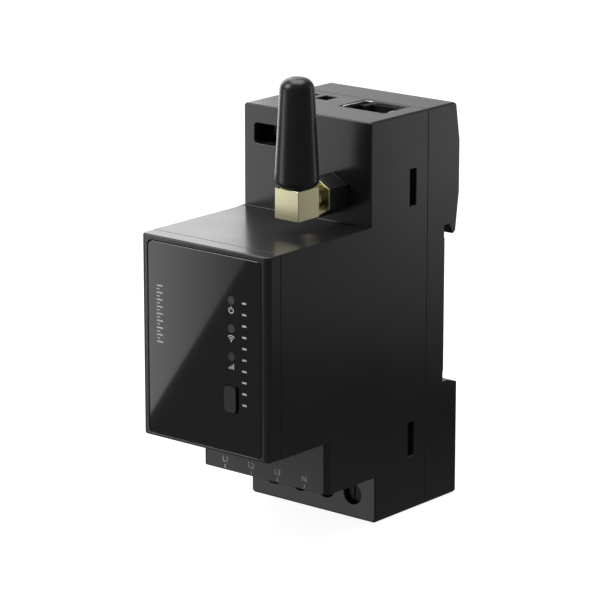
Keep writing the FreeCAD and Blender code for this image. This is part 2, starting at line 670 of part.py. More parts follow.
def radio():
    """Radio module on the main board, under its shield can."""
    face = "board_front - radio_thick"
    keep("radio_module", box("radio_module", centred("0", "radio_width"), (face, "board_front"),
                             ("-radio_low", "radio_high")))
    across = centred("0", "radio_width - 2 * can_edge")
    upwards = ("can_edge - radio_low", "radio_high - can_edge")
    can = box("can_block", across, (face + " - can_high", face), upwards)
    hollow = box("can_hollow", centred("0", "radio_width - 2 * can_edge - 2 * can_wall"),
                 (face + " - can_high + can_wall", face + " + 1"),
                 (upwards[0] + " + can_wall", upwards[1] + " - can_wall"))
    keep("radio_shield", cut("radio_shield", can, hollow))
    keep("metering_chip", box("metering_chip", centred("0", "chip_size"),
                              ("board_front - chip_thick", "board_front"),
                              centred("-chip_z", "chip_size")))


def isolation_barrier():
    """Thin wall that keeps the mains side away from the socket and antenna side."""
    keep("isolation_barrier", box("isolation_barrier", ("barrier_x", "barrier_x + barrier_thick"),
                                  ("barrier_front - rail_to_front",
                                   "board_front - can_high - barrier_rear"),
                                  ("wall + room - block_bottom", "block_top - wall - room")))


# ---------------------------------------------------------------- mains terminals


def terminal_insert():
    """Insulating block with a chamber, a screw bore, a wire hole and a bar slot for each pole."""
    block = box("insert_block", centred("0", "width - 2 * wall - 2 * fit_gap"),
                ("lower_face + wall + fit_gap", "chamber_back + insert_back"),
                ("wall + fit_gap - top", "-insert_top"))
    across, along = foot_window("0")
    foot = box("insert_foot", across, along, ("foot_sink - top", "wall + fit_gap - top + 1"))
    tools = []
    for number in range(4):
        x = terminal_x(number)
        tools.append(box("chamber", centred(x, "cage_width + 2 * cage_gap"),
                         ("chamber_front", "chamber_back"), ("chamber_floor", "chamber_top")))
        tools.append(rod("head_bore", "screw_bore - fit_gap", "head_back - lower_face",
                         (x, "lower_face", "screw_z"), BACK))
        tools.append(rod("shank_bore", "screw_shank + 4 * thread_gap", "chamber_front - lower_face + 1",
                         (x, "lower_face", "screw_z"), BACK))
        tools.append(box("wire_hole", centred(x, "entry_width"), centred("entry_y", "entry_depth"),
                         ("-top", "chamber_floor + 1")))
        tools.append(box("bar_slot", centred(x, "busbar_width + 2 * cage_gap"),
                         ("bar_front - cage_gap", "bar_back + cage_gap"),
                         ("chamber_top - 1", "1 - insert_top")))
    keep("terminal_insert", cut("terminal_insert", join("insert_solid", block, foot), *tools))


def terminal_pole(number, name):
    """Screw, rising clamp cage and busbar of one pole."""
    x = terminal_x(number)
    z = "screw_z"
    head = rod("screw_head_piece", "screw_head", "head_depth", (x, "head_front", z), BACK)
    shank = rod("screw_shank_piece", "screw_shank", "bar_front - cage_gap - head_front",
                (x, "head_front", z), BACK)
    slot = box("screw_slot_tool", centred(x, "screw_slot"),
               ("head_front - 1", "head_front + slot_depth"), centred(z, "screw_head + 1"))
    keep("terminal_screw_" + name, cut("terminal_screw_" + name, join("screw_solid", head, shank), slot))
    frame = box("cage_block", centred(x, "cage_width"), ("cage_front", "cage_back"),
                ("cage_floor", "cage_floor + cage_height"))
    throat = box("cage_throat", centred(x, "cage_width - 2 * cage_side"), ("cage_throat", "cage_rest"),
                 ("cage_floor - 1", "cage_floor + cage_height + 1"))
    thread = rod("cage_thread", "screw_shank + 2 * thread_gap", "cage_nut + 2",
                 (x, "cage_front - 1", z), BACK)
    keep("clamp_cage_" + name, cut("clamp_cage_" + name, frame, throat, thread))
    across = centred(x, "busbar_width")
    tongue = box("bar_tongue", across, ("bar_front", "bar_back"),
                 ("cage_floor + cage_gap", "-busbar_top"))
    foot = box("bar_foot", across, ("bar_front", "board_front"),
               ("-busbar_top - busbar_thick", "-busbar_top"))
    keep("busbar_" + name, join("busbar_" + name, tongue, foot))


def current_sensor(number, name):
    """Ring core round the busbar of one phase."""
    start = (terminal_x(number), "(bar_front + bar_back) / 2", "-sensor_low")
    outer = rod("sensor_outer_piece", "terminal_pitch - sensor_gap", "sensor_height", start)
    inner = rod("sensor_inner_piece", "busbar_width + sensor_slack", "sensor_height + 2",
                (start[0], start[1], "-sensor_low - 1"))
    keep("current_sensor_" + name, cut("current_sensor_" + name, outer, inner))


# ---------------------------------------------------------------- top connectors


def network_socket():
    """Metal shield, plastic insert with its key recess, and eight contacts."""
    outer_x = centred("socket_x", "socket_width + 2 * lining")
    outer_y = centred("socket_y", "socket_deep + 2 * lining")
    lined_x = centred("socket_x", "socket_width + 2 * insert_wall")
    lined_y = centred("socket_y", "socket_deep + 2 * insert_wall")
    low = "socket_top - socket_high"
    shell = box("shield_block", outer_x, outer_y, (low, "socket_top"))
    bore = box("shield_bore", lined_x, lined_y, (low + " - 1", "socket_top + 1"))
    keep("socket_shield", cut("socket_shield", shell, bore))
    lining = box("insert_piece", lined_x, lined_y, (low, "socket_top - insert_set"))
    cavity = box("socket_cavity", centred("socket_x", "socket_width"),
                 ("socket_y - socket_deep / 2", "socket_y + socket_deep / 2 - key_deep"),
                 (low + " + socket_floor", "socket_top + 1"))
    key = box("socket_key", centred("socket_x", "key_width"),
              ("socket_y", "socket_y + socket_deep / 2"), (low + " + socket_floor", "socket_top + 1"))
    keep("socket_insert", cut("socket_insert", lining, cavity, key))
    wires = []
    for number in range(int(SIZES["contact_count"])):
        x = "socket_x + (%g - (contact_count - 1) / 2) * contact_pitch" % number
        near = "socket_y - socket_deep / 2 + contact_set"
        wires.append(box("contact", centred(x, "contact_wide"), (near, near + " + contact_wide"),
                         (low + " + socket_floor", low + " + socket_floor + contact_high")))
    keep("socket_contacts", together("socket_contacts", *wires))


def signal_terminal():
    """Two-way screw terminal: wires go in from the top, screws face the front window."""
    x = (signal_x(0) + " - signal_hole_x / 2 - signal_edge", signal_x(1)
         + " + signal_hole_x / 2 + signal_edge")
    block = box("signal_block", x, ("signal_front", "signal_y + signal_hole_y / 2 + signal_edge"),
                ("snap_high + signal_clear", "signal_top"))
    tools = [window_tool("signal_front - 1", "signal_front + signal_recess")]
    plates = []
    for number in range(2):
        middle = signal_x(number)
        tools.append(box("signal_hole", centred(middle, "signal_hole_x"),
                         centred("signal_y", "signal_hole_y"), ("signal_top - signal_hole_z",
                                                                "signal_top + 1")))
        tools.append(rod("signal_bore", "signal_screw + 2 * fit_gap", "signal_y - signal_front",
                         (middle, "signal_front", "signal_axis"), BACK))
        plates.append(box("signal_plate", centred(middle, "signal_hole_x - 2 * fit_gap"),
                          centred("signal_y", "signal_hole_y - 2 * fit_gap"),
                          ("signal_top - signal_hole_z", "signal_top - signal_hole_z + signal_plate")))
    keep("signal_terminal", cut("signal_terminal", block, *tools))
    keep("signal_contacts", together("signal_contacts", *plates))
    for number in range(2):
        signal_screw(number)


def signal_screw(number):
    x, start = signal_x(number), "signal_front + signal_recess"
    head = rod("signal_head_piece", "signal_screw", "signal_head", (x, start, "signal_axis"), BACK)
    shank = rod("signal_shank_piece", "signal_shank",
                "signal_y - signal_hole_y / 2 + signal_reach - (%s)" % start,
                (x, start, "signal_axis"), BACK)
    slot = box("signal_slot_tool", centred(x, "screw_slot"), (start + " - 1", start + " + slot_depth"),
               centred("signal_axis", "signal_screw + 1"))
    name = "signal_screw_%d" % (number + 1)
    keep(name, cut(name, join("signal_screw_solid", head, shank), slot))


# ---------------------------------------------------------------- antenna


def at_jack(y):
    return ("antenna_x", y, "antenna_z")


def antenna_jack():
    """Threaded socket through the upper shoulder, with its insulator and panel nut."""
    thread = rod("jack_thread_piece", "jack_thread", "jack_out + wall", at_jack("upper_face - jack_out"),
                 BACK)
    flange = rod("jack_flange_piece", "jack_thread + 2 * jack_flange_step", "jack_flange_thick",
                 at_jack("upper_face + wall"), BACK)
    tail = rod("jack_tail_piece", "jack_tail", "board_front - upper_face - wall",
               at_jack("upper_face + wall"), BACK)
    bore = rod("jack_bore", "insulator_outer", "insulator_long + 1",
               at_jack("upper_face - jack_out - 1"), BACK)
    keep("antenna_jack", cut("antenna_jack", join("jack_solid", thread, flange, tail), bore))
    core = rod("insulator_piece", "insulator_outer", "insulator_long",
               at_jack("upper_face - jack_out"), BACK)
    pin_hole = rod("insulator_hole", "insulator_bore", "insulator_long - insulator_floor",
                   at_jack("upper_face - jack_out"), BACK)
    keep("jack_insulator", cut("jack_insulator", core, pin_hole))
    nut = hexagon("panel_nut_block", "jack_thread + 2 * panel_nut_wall", "panel_nut_thick",
                  at_jack("upper_face - panel_nut_thick"))
    nut_bore = rod("panel_nut_bore", "jack_thread", "panel_nut_thick + 2", at_jack("upper_face - 2"),
                   BACK)
    keep("jack_panel_nut", cut("jack_panel_nut", nut, nut_bore))


def coupling_nut():
    """Brass nut that turns on the antenna's neck, and the black boot over its flats."""
    block = hexagon("nut_block", "nut_flats", "nut_length", at_jack("nut_face"))
    neck_bore = rod("nut_neck_bore", "neck_bore + 2 * neck_gap", "nut_length", at_jack("nut_face - 1"),
                    BACK)
    thread_bore = rod("nut_thread_bore", "jack_thread + 2 * thread_gap", "nut_length",
                      at_jack("nut_face + nut_front"), BACK)
    keep("coupling_nut", cut("coupling_nut", block, neck_bore, thread_bore))
    shell = hexagon("boot_block", "boot_flats", "nut_length - boot_short",
                    at_jack("nut_face + boot_short"))
    inner = hexagon("boot_inner", "nut_flats", "nut_length + 2", at_jack("nut_face - 1"))
    keep("nut_boot", cut("nut_boot", shell, inner))


def antenna_elbow():
    """Square brass elbow with the flanged neck that the nut turns on and a stub up the mast."""
    cube = box("elbow_cube", centred("antenna_x", "elbow_x"), ("elbow_back - elbow_y", "elbow_back"),
               centred("antenna_z", "elbow_z"))
    neck = rod("elbow_neck", "neck_bore",
               "neck_length + nut_front + 2 * neck_gap + neck_flange_thick", at_jack("elbow_back"), BACK)
    flange = rod("elbow_flange", "neck_flange", "neck_flange_thick",
                 at_jack("nut_face + nut_front + neck_gap"), BACK)
    stub = rod("elbow_stub", "stub_bore", "stub_high", ("antenna_x", "mast_y", "elbow_top"))
    keep("antenna_elbow", join("antenna_elbow", cube, neck, flange, stub))
    ring = rod("collar_ring", "collar_bore", "collar_thick", at_jack("elbow_back + collar_step"), BACK)
    hole = rod("collar_hole", "neck_bore", "collar_thick + 2",
               at_jack("elbow_back + collar_step - 1"), BACK)
    keep("antenna_collar", cut("antenna_collar", ring, hole))


def antenna_sleeve():
    """Tapered rubber sleeve with a rounded tip, hollow for the radiator."""
    foot = ("antenna_x", "mast_y", "elbow_top")
    flare = taper("sleeve_flare_piece", "sleeve_neck", "sleeve_wide", "sleeve_flare", foot)
    mast = taper("sleeve_mast", "sleeve_wide", "sleeve_tip", "sleeve_high - sleeve_flare",
                 ("antenna_x", "mast_y", "elbow_top + sleeve_flare"))
    solid = join("sleeve_solid", flare, mast)
    tip = SIZES["antenna_z"] + SIZES["elbow_z"] / 2 + SIZES["sleeve_high"]
    domed = soften("sleeve_domed", solid, "sleeve_dome", lambda middle, way: abs(middle.z - tip) < 0.01)
    bore = rod("sleeve_bore_piece", "sleeve_bore", "sleeve_high - sleeve_end + 1",
               ("antenna_x", "mast_y", "elbow_top - 1"))
    keep("antenna_sleeve", cut("antenna_sleeve", domed, bore))


def antenna_radiator():
    """Copper coil that stands on the elbow's stub inside the sleeve."""
    room = SIZES["sleeve_high"] - SIZES["sleeve_end"] - SIZES["stub_high"]
    coil("antenna_radiator", "radiator_outer", "radiator_wire", room - SIZES["radiator_step"],
         "radiator_turns", ("antenna_x", "mast_y", "elbow_top + stub_high + coil_lift"))


# ---------------------------------------------------------------- the whole meter


def build():
    fill_sheet()
    for make in (front_housing, front_cover, front_panel, rear_base, rail_latch, latch_spring,
                 light_pipes, reset_button, tact_switch, display_board, main_board, power_board,
                 transformer, power_parts, radio, isolation_barrier, terminal_insert):
        make()
    for number, name in enumerate(("l1", "l2", "l3", "n")):
        terminal_pole(number, name)
    for number, name in enumerate(("l1", "l2", "l3")):
        current_sensor(number, name)
    for make in (network_socket, signal_terminal, antenna_jack, coupling_nut, antenna_elbow,
                 antenna_sleeve, antenna_radiator):
        make()
    doc.recompute()


def check():
    for thing in doc.Objects:
        if "Invalid" in thing.State or "Error" in thing.State:
            raise ValueError("%s failed: %s" % (thing.Label, thing.State))
    for part in parts:
        if part.Shape.isNull() or not part.Shape.isValid() or part.Shape.Volume < 0.01:
            raise ValueError(part.Label + " has no sound shape")


def export():
    os.makedirs("parts", exist_ok=True)
    for part in parts:
        part.Shape.exportStep("parts/%s.step" % part.Label)
    print("wrote", len(parts), "sub-parts")


build()
check()
export()
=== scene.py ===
# %% [markdown]
# # A rail-mounted energy meter
# The meter is a small black box for a switchboard rail, with a glossy front, a stub antenna on a
# brass elbow and screw terminals along its foot. Its parts arrive from CAD already in place. This
# lesson gives them finishes, softens the moulded edges that catch the light, and adds what CAD left
# plain: printed marks, slotted screws, a turned antenna sleeve, bent contacts and grip ribs.

# %% Load the meter
import bmesh
import bpy
import json
import math
from mathutils import Matrix, Vector


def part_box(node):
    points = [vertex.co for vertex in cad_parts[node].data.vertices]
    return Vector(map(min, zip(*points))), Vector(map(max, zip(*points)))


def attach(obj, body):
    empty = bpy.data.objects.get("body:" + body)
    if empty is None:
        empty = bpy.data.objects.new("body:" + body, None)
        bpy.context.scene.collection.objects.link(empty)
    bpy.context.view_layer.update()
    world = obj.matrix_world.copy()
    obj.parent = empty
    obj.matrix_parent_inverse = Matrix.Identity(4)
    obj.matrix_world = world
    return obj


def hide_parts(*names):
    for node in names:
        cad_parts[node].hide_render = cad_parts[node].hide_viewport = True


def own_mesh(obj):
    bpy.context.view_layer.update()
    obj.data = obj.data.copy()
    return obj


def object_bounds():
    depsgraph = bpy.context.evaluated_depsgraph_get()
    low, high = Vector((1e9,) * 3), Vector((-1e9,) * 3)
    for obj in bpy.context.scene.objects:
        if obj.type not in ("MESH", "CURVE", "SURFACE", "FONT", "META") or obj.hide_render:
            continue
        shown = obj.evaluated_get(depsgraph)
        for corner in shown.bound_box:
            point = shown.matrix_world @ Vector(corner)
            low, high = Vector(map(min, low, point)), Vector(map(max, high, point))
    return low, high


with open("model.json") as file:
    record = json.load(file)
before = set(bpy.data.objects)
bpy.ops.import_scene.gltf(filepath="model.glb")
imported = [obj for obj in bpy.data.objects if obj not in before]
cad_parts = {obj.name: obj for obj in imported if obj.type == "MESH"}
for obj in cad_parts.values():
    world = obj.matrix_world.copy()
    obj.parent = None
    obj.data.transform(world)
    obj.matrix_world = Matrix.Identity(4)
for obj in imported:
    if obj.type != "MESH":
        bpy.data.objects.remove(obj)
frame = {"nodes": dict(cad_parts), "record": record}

scene = bpy.context.scene
nodes = frame["nodes"]
cad_low, cad_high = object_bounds()
MM = 0.001
print("meter:", len(nodes), "nodes,", [round(s / MM, 1) for s in cad_high - cad_low], "mm")

# %% [markdown]
# ## Camera
# A long lens keeps the upright edges of the case nearly parallel. The camera stands to the right
# and a little above, about 0.7 m away, and isn't rolled about its own axis.

# %% Camera
azimuth, elevation = math.radians(39.74), math.radians(14.83)
toward_camera = Vector((math.sin(azimuth) * math.cos(elevation),
                        -math.cos(azimuth) * math.cos(elevation), math.sin(elevation)))
lens = bpy.data.cameras.new("camera")
lens.lens, lens.sensor_width = 196.34, 36.0        # millimetres
camera = bpy.data.objects.new("camera", lens)
camera.location = (0.44088, -0.55882, 0.18627)
camera.rotation_euler = (-toward_camera).to_track_quat("-Z", "Y").to_euler()
lens.clip_start, lens.clip_end = 0.05, 50.0
scene.collection.objects.link(camera)
scene.camera = camera
print("camera at", [round(c, 3) for c in camera.location])

# %% [markdown]
# ## Stage
# Black satin plastic shows almost nothing but reflections, so the stage matters more than the
# lamps. The floor is pale and plain. Around the meter stand a few glowing cards. A bright one and a
# dim one at the back serve the two top faces, which see different sides of their common edge. One
# at the front left has a slanted edge that draws the diagonal across the glossy panel, with a low
# one under it. One at the right fades downwards, and so does the sheen of the side wall. None of the
# cards is seen by the camera. A large glowing sphere is meant to close the room beyond the floor,
# but from nearly level the plain grey world still shows above the horizon.

# %% Stage helpers
def glowing(name, strength, fade=None):
    """A white emitting material; fade is (axis, start, end, strength at the end)."""
    material = bpy.data.materials.new(name)
    material.use_nodes = True
    tree = material.node_tree
    tree.nodes.clear()
    glow = tree.nodes.new("ShaderNodeEmission")
    glow.inputs["Strength"].default_value = strength
    out = tree.nodes.new("ShaderNodeOutputMaterial")
    tree.links.new(glow.outputs[0], out.inputs["Surface"])
    if fade:
        place = tree.nodes.new("ShaderNodeTexCoord")
        split = tree.nodes.new("ShaderNodeSeparateXYZ")
        ramp = tree.nodes.new("ShaderNodeMapRange")
        axis, start, end, far_strength = fade
        ramp.inputs["From Min"].default_value, ramp.inputs["From Max"].default_value = start, end
        ramp.inputs["To Min"].default_value, ramp.inputs["To Max"].default_value = strength, far_strength
        tree.links.new(place.outputs["Object"], split.inputs[0])
        tree.links.new(split.outputs[axis], ramp.inputs["Value"])
        tree.links.new(ramp.outputs[0], glow.inputs["Strength"])
    return material


def card(name, corners, material):
    """A flat stage card through its corners, in metres."""
    mesh = bpy.data.meshes.new(name)
    mesh.from_pydata(corners, [], [tuple(range(len(corners)))])
    thing = bpy.data.objects.new(name, mesh)
    thing.data.materials.append(material)
    scene.collection.objects.link(thing)
    return thing


def lamp(name, place, target, size, watts):
    """A soft rectangular lamp that looks at its target."""
    data = bpy.data.lights.new(name, "AREA")
    data.shape, data.size, data.size_y, data.energy = "RECTANGLE", size[0], size[1], watts
    thing = bpy.data.objects.new(name, data)
    thing.location = place
    thing.rotation_euler = (Vector(place) - Vector(target)).to_track_quat("Z", "Y").to_euler()
    thing.visible_camera = False
    scene.collection.objects.link(thing)
    return thing


# %% Floor and room
floor_z = cad_low.z
floor_paint = bpy.data.materials.new("floor_paint")
floor_paint.use_nodes = True
paint = floor_paint.node_tree.nodes["Principled BSDF"]
paint.inputs["Base Color"].default_value = (0.25, 0.25, 0.25, 1)
paint.inputs["Roughness"].default_value = 1.0
paint.inputs["Specular IOR Level"].default_value = 0.0
paint.inputs["Emission Color"].default_value = (1, 1, 1, 1)
paint.inputs["Emission Strength"].default_value = 0.93
reach = 6.0
floor = card("floor", [(-reach, -reach, floor_z), (reach, -reach, floor_z), (reach, reach, floor_z),
                       (-reach, reach, floor_z)], floor_paint)
floor.visible_glossy = floor.visible_diffuse = False

bpy.ops.mesh.primitive_uv_sphere_add(segments=32, ring_count=16, radius=reach)
room = bpy.context.object
room.name = "room"
room.data.materials.append(glowing("room_paint", 1.0))
room.visible_glossy = room.visible_diffuse = room.visible_shadow = False

world = bpy.data.worlds.new("studio")
world.use_nodes = True
world.node_tree.nodes["Background"].inputs["Color"].default_value = (0.16, 0.16, 0.165, 1)
scene.world = world
scene.view_settings.view_transform = "Standard"
print("floor at", round(floor_z / MM, 1), "mm")

# %% Cards and lamps
left, middle, right = (-0.550, -0.018), (-0.243, 0.238), (-0.030, 0.415)
back_card = card("back_card", [(*left, -0.05), (*middle, -0.05), (*middle, 0.45), (*left, 0.45)],
                 glowing("back_glow", 2.3))
dim_card = card("dim_card", [(*middle, -0.05), (*right, -0.05), (*right, 0.45), (*middle, 0.45)],
                glowing("dim_glow", 0.75, ("X", -0.22, -0.10, 0.45)))
side_card = card("side_card", [(0.09, 0.16, -0.09), (0.26, 0.07, -0.09), (0.26, 0.07, -0.034),
                               (0.1465, 0.1301, -0.034), (0.1465, 0.1301, 0.14),
                               (0.09, 0.16, 0.14)],
                 glowing("side_glow", 1.0, ("Z", 0.0, -0.07, 0.05)))
front_card = card("front_card", [(-0.30, -0.22, -0.0885), (-0.1656, -0.22, -0.0885),
                                 (-0.0463, -0.22, 0.08), (-0.30, -0.22, 0.08)],
                  glowing("front_glow", 2.2, ("X", -0.18, -0.13, 0.55)))
low_card = card("low_card", [(-0.30, -0.22, -0.16), (-0.10, -0.22, -0.16), (-0.10, -0.22, -0.092),
                             (-0.30, -0.22, -0.092)], glowing("low_glow", 1.3))
for glow_card in (back_card, dim_card, side_card, front_card, low_card):
    glow_card.visible_camera = glow_card.visible_shadow = False
lamp("key", (-0.35, -0.45, 0.45), (0, -0.03, 0), (0.35, 0.35), 2.2)
lamp("overhead", (-0.05, 0.05, 0.60), (0, -0.02, 0), (0.5, 0.5), 3.0)
print("cards: back, dim, side, front and low; lamps: key and overhead")

# %% [markdown]
# ## Finishes
# Every finish starts from one recipe. A fine noise gives the grain of the tool steel that the
# plastic was moulded against, as a bump a few microns deep. A broad noise drifts the tone and the
# roughness, because no moulding is perfectly even. Both read Object coordinates, so they stay with
# the piece when it moves. What is the same all over is set straight on the shader.

# %% The finish recipe
FIRST_COLOUR, SECOND_COLOUR, MIXED_COLOUR = 6, 7, 2     # sockets of a colour Mix node


def node(tree, kind, **values):
    """A shader node with some of its inputs or properties set."""
    made = tree.nodes.new(kind)
    for key, value in values.items():
        if key in made.inputs:
            made.inputs[key].default_value = value
        else:
            setattr(made, key, value)
    return made


def finish(name, colour, roughness, metallic=0.0, grain=2600.0, depth=0.004, drift=0.08,
           uneven=0.04, stretch=(1, 1, 1), second=None, pattern=None, **constants):
    """One surface finish; second is the other colour of a pattern such as bands or specks."""
    material = bpy.data.materials.new(name)
    material.use_nodes = True
    tree = material.node_tree
    links = tree.links
    shader = tree.nodes["Principled BSDF"]
    place = node(tree, "ShaderNodeTexCoord")
    turn = node(tree, "ShaderNodeMapping")
    turn.inputs["Scale"].default_value = stretch
    links.new(place.outputs["Object"], turn.inputs["Vector"])

    fine = node(tree, "ShaderNodeTexNoise", Scale=grain, Detail=3.0, Roughness=0.6)
    links.new(turn.outputs[0], fine.inputs["Vector"])
    bump = node(tree, "ShaderNodeBump", Strength=0.6, Distance=depth * MM)
    links.new(fine.outputs["Fac"], bump.inputs["Height"])
    links.new(bump.outputs[0], shader.inputs["Normal"])

    broad = node(tree, "ShaderNodeTexNoise", Scale=55.0, Detail=4.0, Roughness=0.55)
    links.new(place.outputs["Object"], broad.inputs["Vector"])
    rough = node(tree, "ShaderNodeMapRange")
    rough.inputs["From Min"].default_value, rough.inputs["From Max"].default_value = 0.3, 0.7
    rough.inputs["To Min"].default_value = roughness - uneven
    rough.inputs["To Max"].default_value = roughness + uneven
    links.new(broad.outputs["Fac"], rough.inputs["Value"])
    links.new(rough.outputs[0], shader.inputs["Roughness"])

    tone = node(tree, "ShaderNodeMix", data_type="RGBA")
    tone.inputs[FIRST_COLOUR].default_value = (*[c * (1 - drift) for c in colour], 1)
    tone.inputs[SECOND_COLOUR].default_value = (*[min(1, c * (1 + drift)) for c in colour], 1)
    links.new(broad.outputs["Fac"], tone.inputs[0])
    painted = tone.outputs[MIXED_COLOUR]
    if pattern:
        paint_over = node(tree, "ShaderNodeMix", data_type="RGBA")
        paint_over.inputs[SECOND_COLOUR].default_value = (*second, 1)
        links.new(pattern(tree, place.outputs["Object"]), paint_over.inputs[0])
        links.new(painted, paint_over.inputs[FIRST_COLOUR])
        painted = paint_over.outputs[MIXED_COLOUR]
    links.new(painted, shader.inputs["Base Color"])

    shader.inputs["Metallic"].default_value = metallic
    for key, value in constants.items():
        shader.inputs[key.replace("_", " ")].default_value = value
    return material


# %% Patterns for the parts inside
def bands(scale, axis="Z"):
    """Regular stripes, such as the turns of a coil."""
    def build(tree, vector):
        wave = node(tree, "ShaderNodeTexWave", Scale=scale, bands_direction=axis)
        tree.links.new(vector, wave.inputs["Vector"])
        return wave.outputs["Fac"]
    return build


def specks(scale, low, high):
    """Small grains of a second colour."""
    def build(tree, vector):
        noise = node(tree, "ShaderNodeTexNoise", Scale=scale, Detail=2.0)
        tree.links.new(vector, noise.inputs["Vector"])
        step = node(tree, "ShaderNodeMapRange")
        step.inputs["From Min"].default_value, step.inputs["From Max"].default_value = low, high
        tree.links.new(noise.outputs["Fac"], step.inputs["Value"])
        return step.outputs[0]
    return build


def tracks(scale):
    """Thin connected lines, such as the copper under a board's solder mask."""
    def build(tree, vector):
        cells = node(tree, "ShaderNodeTexVoronoi", Scale=scale, feature="DISTANCE_TO_EDGE")
        tree.links.new(vector, cells.inputs["Vector"])
        step = node(tree, "ShaderNodeMapRange")
        step.inputs["From Min"].default_value, step.inputs["From Max"].default_value = 0.08, 0.05
        tree.links.new(cells.outputs["Distance"], step.inputs["Value"])
        return step.outputs[0]
    return build


# %% [markdown]
# The case is satin charcoal plastic, dark enough that its shape is read from soft reflections. The
# panel is the same black under a clear gloss. The elbow is plated brass, paler than raw brass, and
# the antenna sleeve is rubber with a faint sheen.

# %% All finishes
CHARCOAL = (0.019, 0.019, 0.020)
looks = {
    "housing_plastic": finish("case_charcoal", CHARCOAL, 0.24, drift=0.10, uneven=0.03),
    "panel_gloss": finish("panel_black", (0.006, 0.006, 0.007), 0.045, uneven=0.01, depth=0.0,
                          drift=0.04, Coat_Weight=0.5, Coat_Roughness=0.02),
    "button_plastic": finish("button_satin", (0.021, 0.021, 0.022), 0.25),
    "latch_plastic": finish("latch_nylon", (0.024, 0.024, 0.025), 0.48, grain=1800.0),
    "insulator_plastic": finish("insulator_nylon", (0.010, 0.010, 0.011), 0.6, grain=1800.0,
                                Specular_IOR_Level=0.2),
    "lens_plastic": finish("lens_smoke", (0.075, 0.078, 0.082), 0.18, depth=0.0,
                           Transmission_Weight=0.25),
    "led_body": finish("led_resin", (0.75, 0.72, 0.60), 0.25, depth=0.0, Transmission_Weight=0.3),
    "nickel_steel": finish("nickel_plate", (0.56, 0.55, 0.52), 0.28, 1.0, grain=900.0,
                           stretch=(1, 8, 1), drift=0.05),
    "shield_metal": finish("tinned_shield", (0.72, 0.71, 0.69), 0.22, 1.0, grain=700.0,
                           stretch=(6, 6, 1), drift=0.04),
    "gold_brass": finish("plated_brass", (0.80, 0.74, 0.61), 0.24, 1.0, grain=1500.0, drift=0.05),
    "brass": finish("bright_brass", (0.66, 0.62, 0.40), 0.18, 1.0, grain=1500.0, drift=0.06),
    "copper": finish("bare_copper", (0.78, 0.42, 0.26), 0.26, 1.0, grain=1200.0, drift=0.08),
    "boot_plastic": finish("boot_black", (0.014, 0.014, 0.013), 0.38),
    "rubber_black": finish("sleeve_rubber", (0.011, 0.011, 0.011), 0.27, grain=2200.0,
                           depth=0.003, Sheen_Weight=0.05, Sheen_Roughness=0.4),
    "ptfe": finish("white_ptfe", (0.80, 0.80, 0.77), 0.45),
    "board_green": finish("solder_mask", (0.010, 0.075, 0.030), 0.28, second=(0.03, 0.17, 0.06),
                          pattern=tracks(260.0), grain=900.0),
    "ferrite": finish("ferrite_grey", (0.045, 0.045, 0.048), 0.62, second=(0.09, 0.09, 0.095),
                      pattern=specks(2600.0, 0.55, 0.62)),
    "winding": finish("enamelled_wire", (0.42, 0.14, 0.05), 0.30, second=(0.15, 0.045, 0.02),
                      pattern=bands(520.0), depth=0.01),
    "part_black": finish("moulding_black", (0.012, 0.012, 0.013), 0.5, grain=1600.0),
    "capacitor_can": finish("capacitor_sleeve", (0.012, 0.016, 0.035), 0.3,
                            second=(0.5, 0.5, 0.5), pattern=bands(26.0, "Y")),
    "fuse_ceramic": finish("fuse_ceramic", (0.72, 0.69, 0.60), 0.4, second=(0.55, 0.53, 0.5),
                           pattern=bands(90.0, "Y")),
    "varistor_blue": finish("varistor_epoxy", (0.02, 0.09, 0.32), 0.35, second=(0.03, 0.13, 0.4),
                            pattern=specks(900.0, 0.5, 0.6)),
    "spring_steel": finish("spring_wire", (0.50, 0.50, 0.49), 0.25, 1.0, stretch=(1, 1, 6)),
    "print_grey": finish("print_ink", (0.80, 0.80, 0.81), 0.55, depth=0.002),
    "screw_black": finish("blackened_steel", (0.020, 0.020, 0.022), 0.42, 0.6, grain=900.0),
}
slot_of = {sub["node"]: sub["material_slot"] for sub in frame["record"]["subparts"]}
for name, part in nodes.items():
    part.data.materials.clear()
    part.data.materials.append(looks[slot_of[name]])
print(len(looks), "finishes on", len(nodes), "nodes")

# %% [markdown]
# ## Moulded edges
# A moulded or machined edge is never a knife edge. The main CAD meshes that show are copied, their
# doubled points are merged, and a small bevel rounds each sharp edge; on the panel only its outline.
# Normals weighted by face area keep the flat walls flat. Points that a bevel pushes out are brought
# back into the CAD node's own box. The seams between the mouldings then show as fine grooves,
# because both of their lips are rounded.

# %% Soft-edged copies
SHARP = math.radians(35)


def add_piece(name, mesh, body, slot_name, *replaced):
    """Links a finished mesh as a piece that rides on a body and stands for CAD nodes."""
    piece = bpy.data.objects.new(name, mesh)
    mesh.materials.clear()
    mesh.materials.append(looks[slot_name])
    scene.collection.objects.link(piece)
    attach(piece, body)
    if replaced:
        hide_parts(*replaced)
    return piece


body_of = {member: body for body, members in frame["record"]["behaviour"]["bodies"].items()
           for member in members}


def shade_by_angle(mesh, degrees):
    """Smooth shading that stays sharp where two faces meet at more than the angle."""
    solid = bmesh.new()
    solid.from_mesh(mesh)
    for face in solid.faces:
        face.smooth = True
    limit = math.radians(degrees)
    for edge in solid.edges:
        edge.smooth = len(edge.link_faces) == 2 and edge.calc_face_angle(0) < limit
    solid.to_mesh(mesh)
    solid.free()


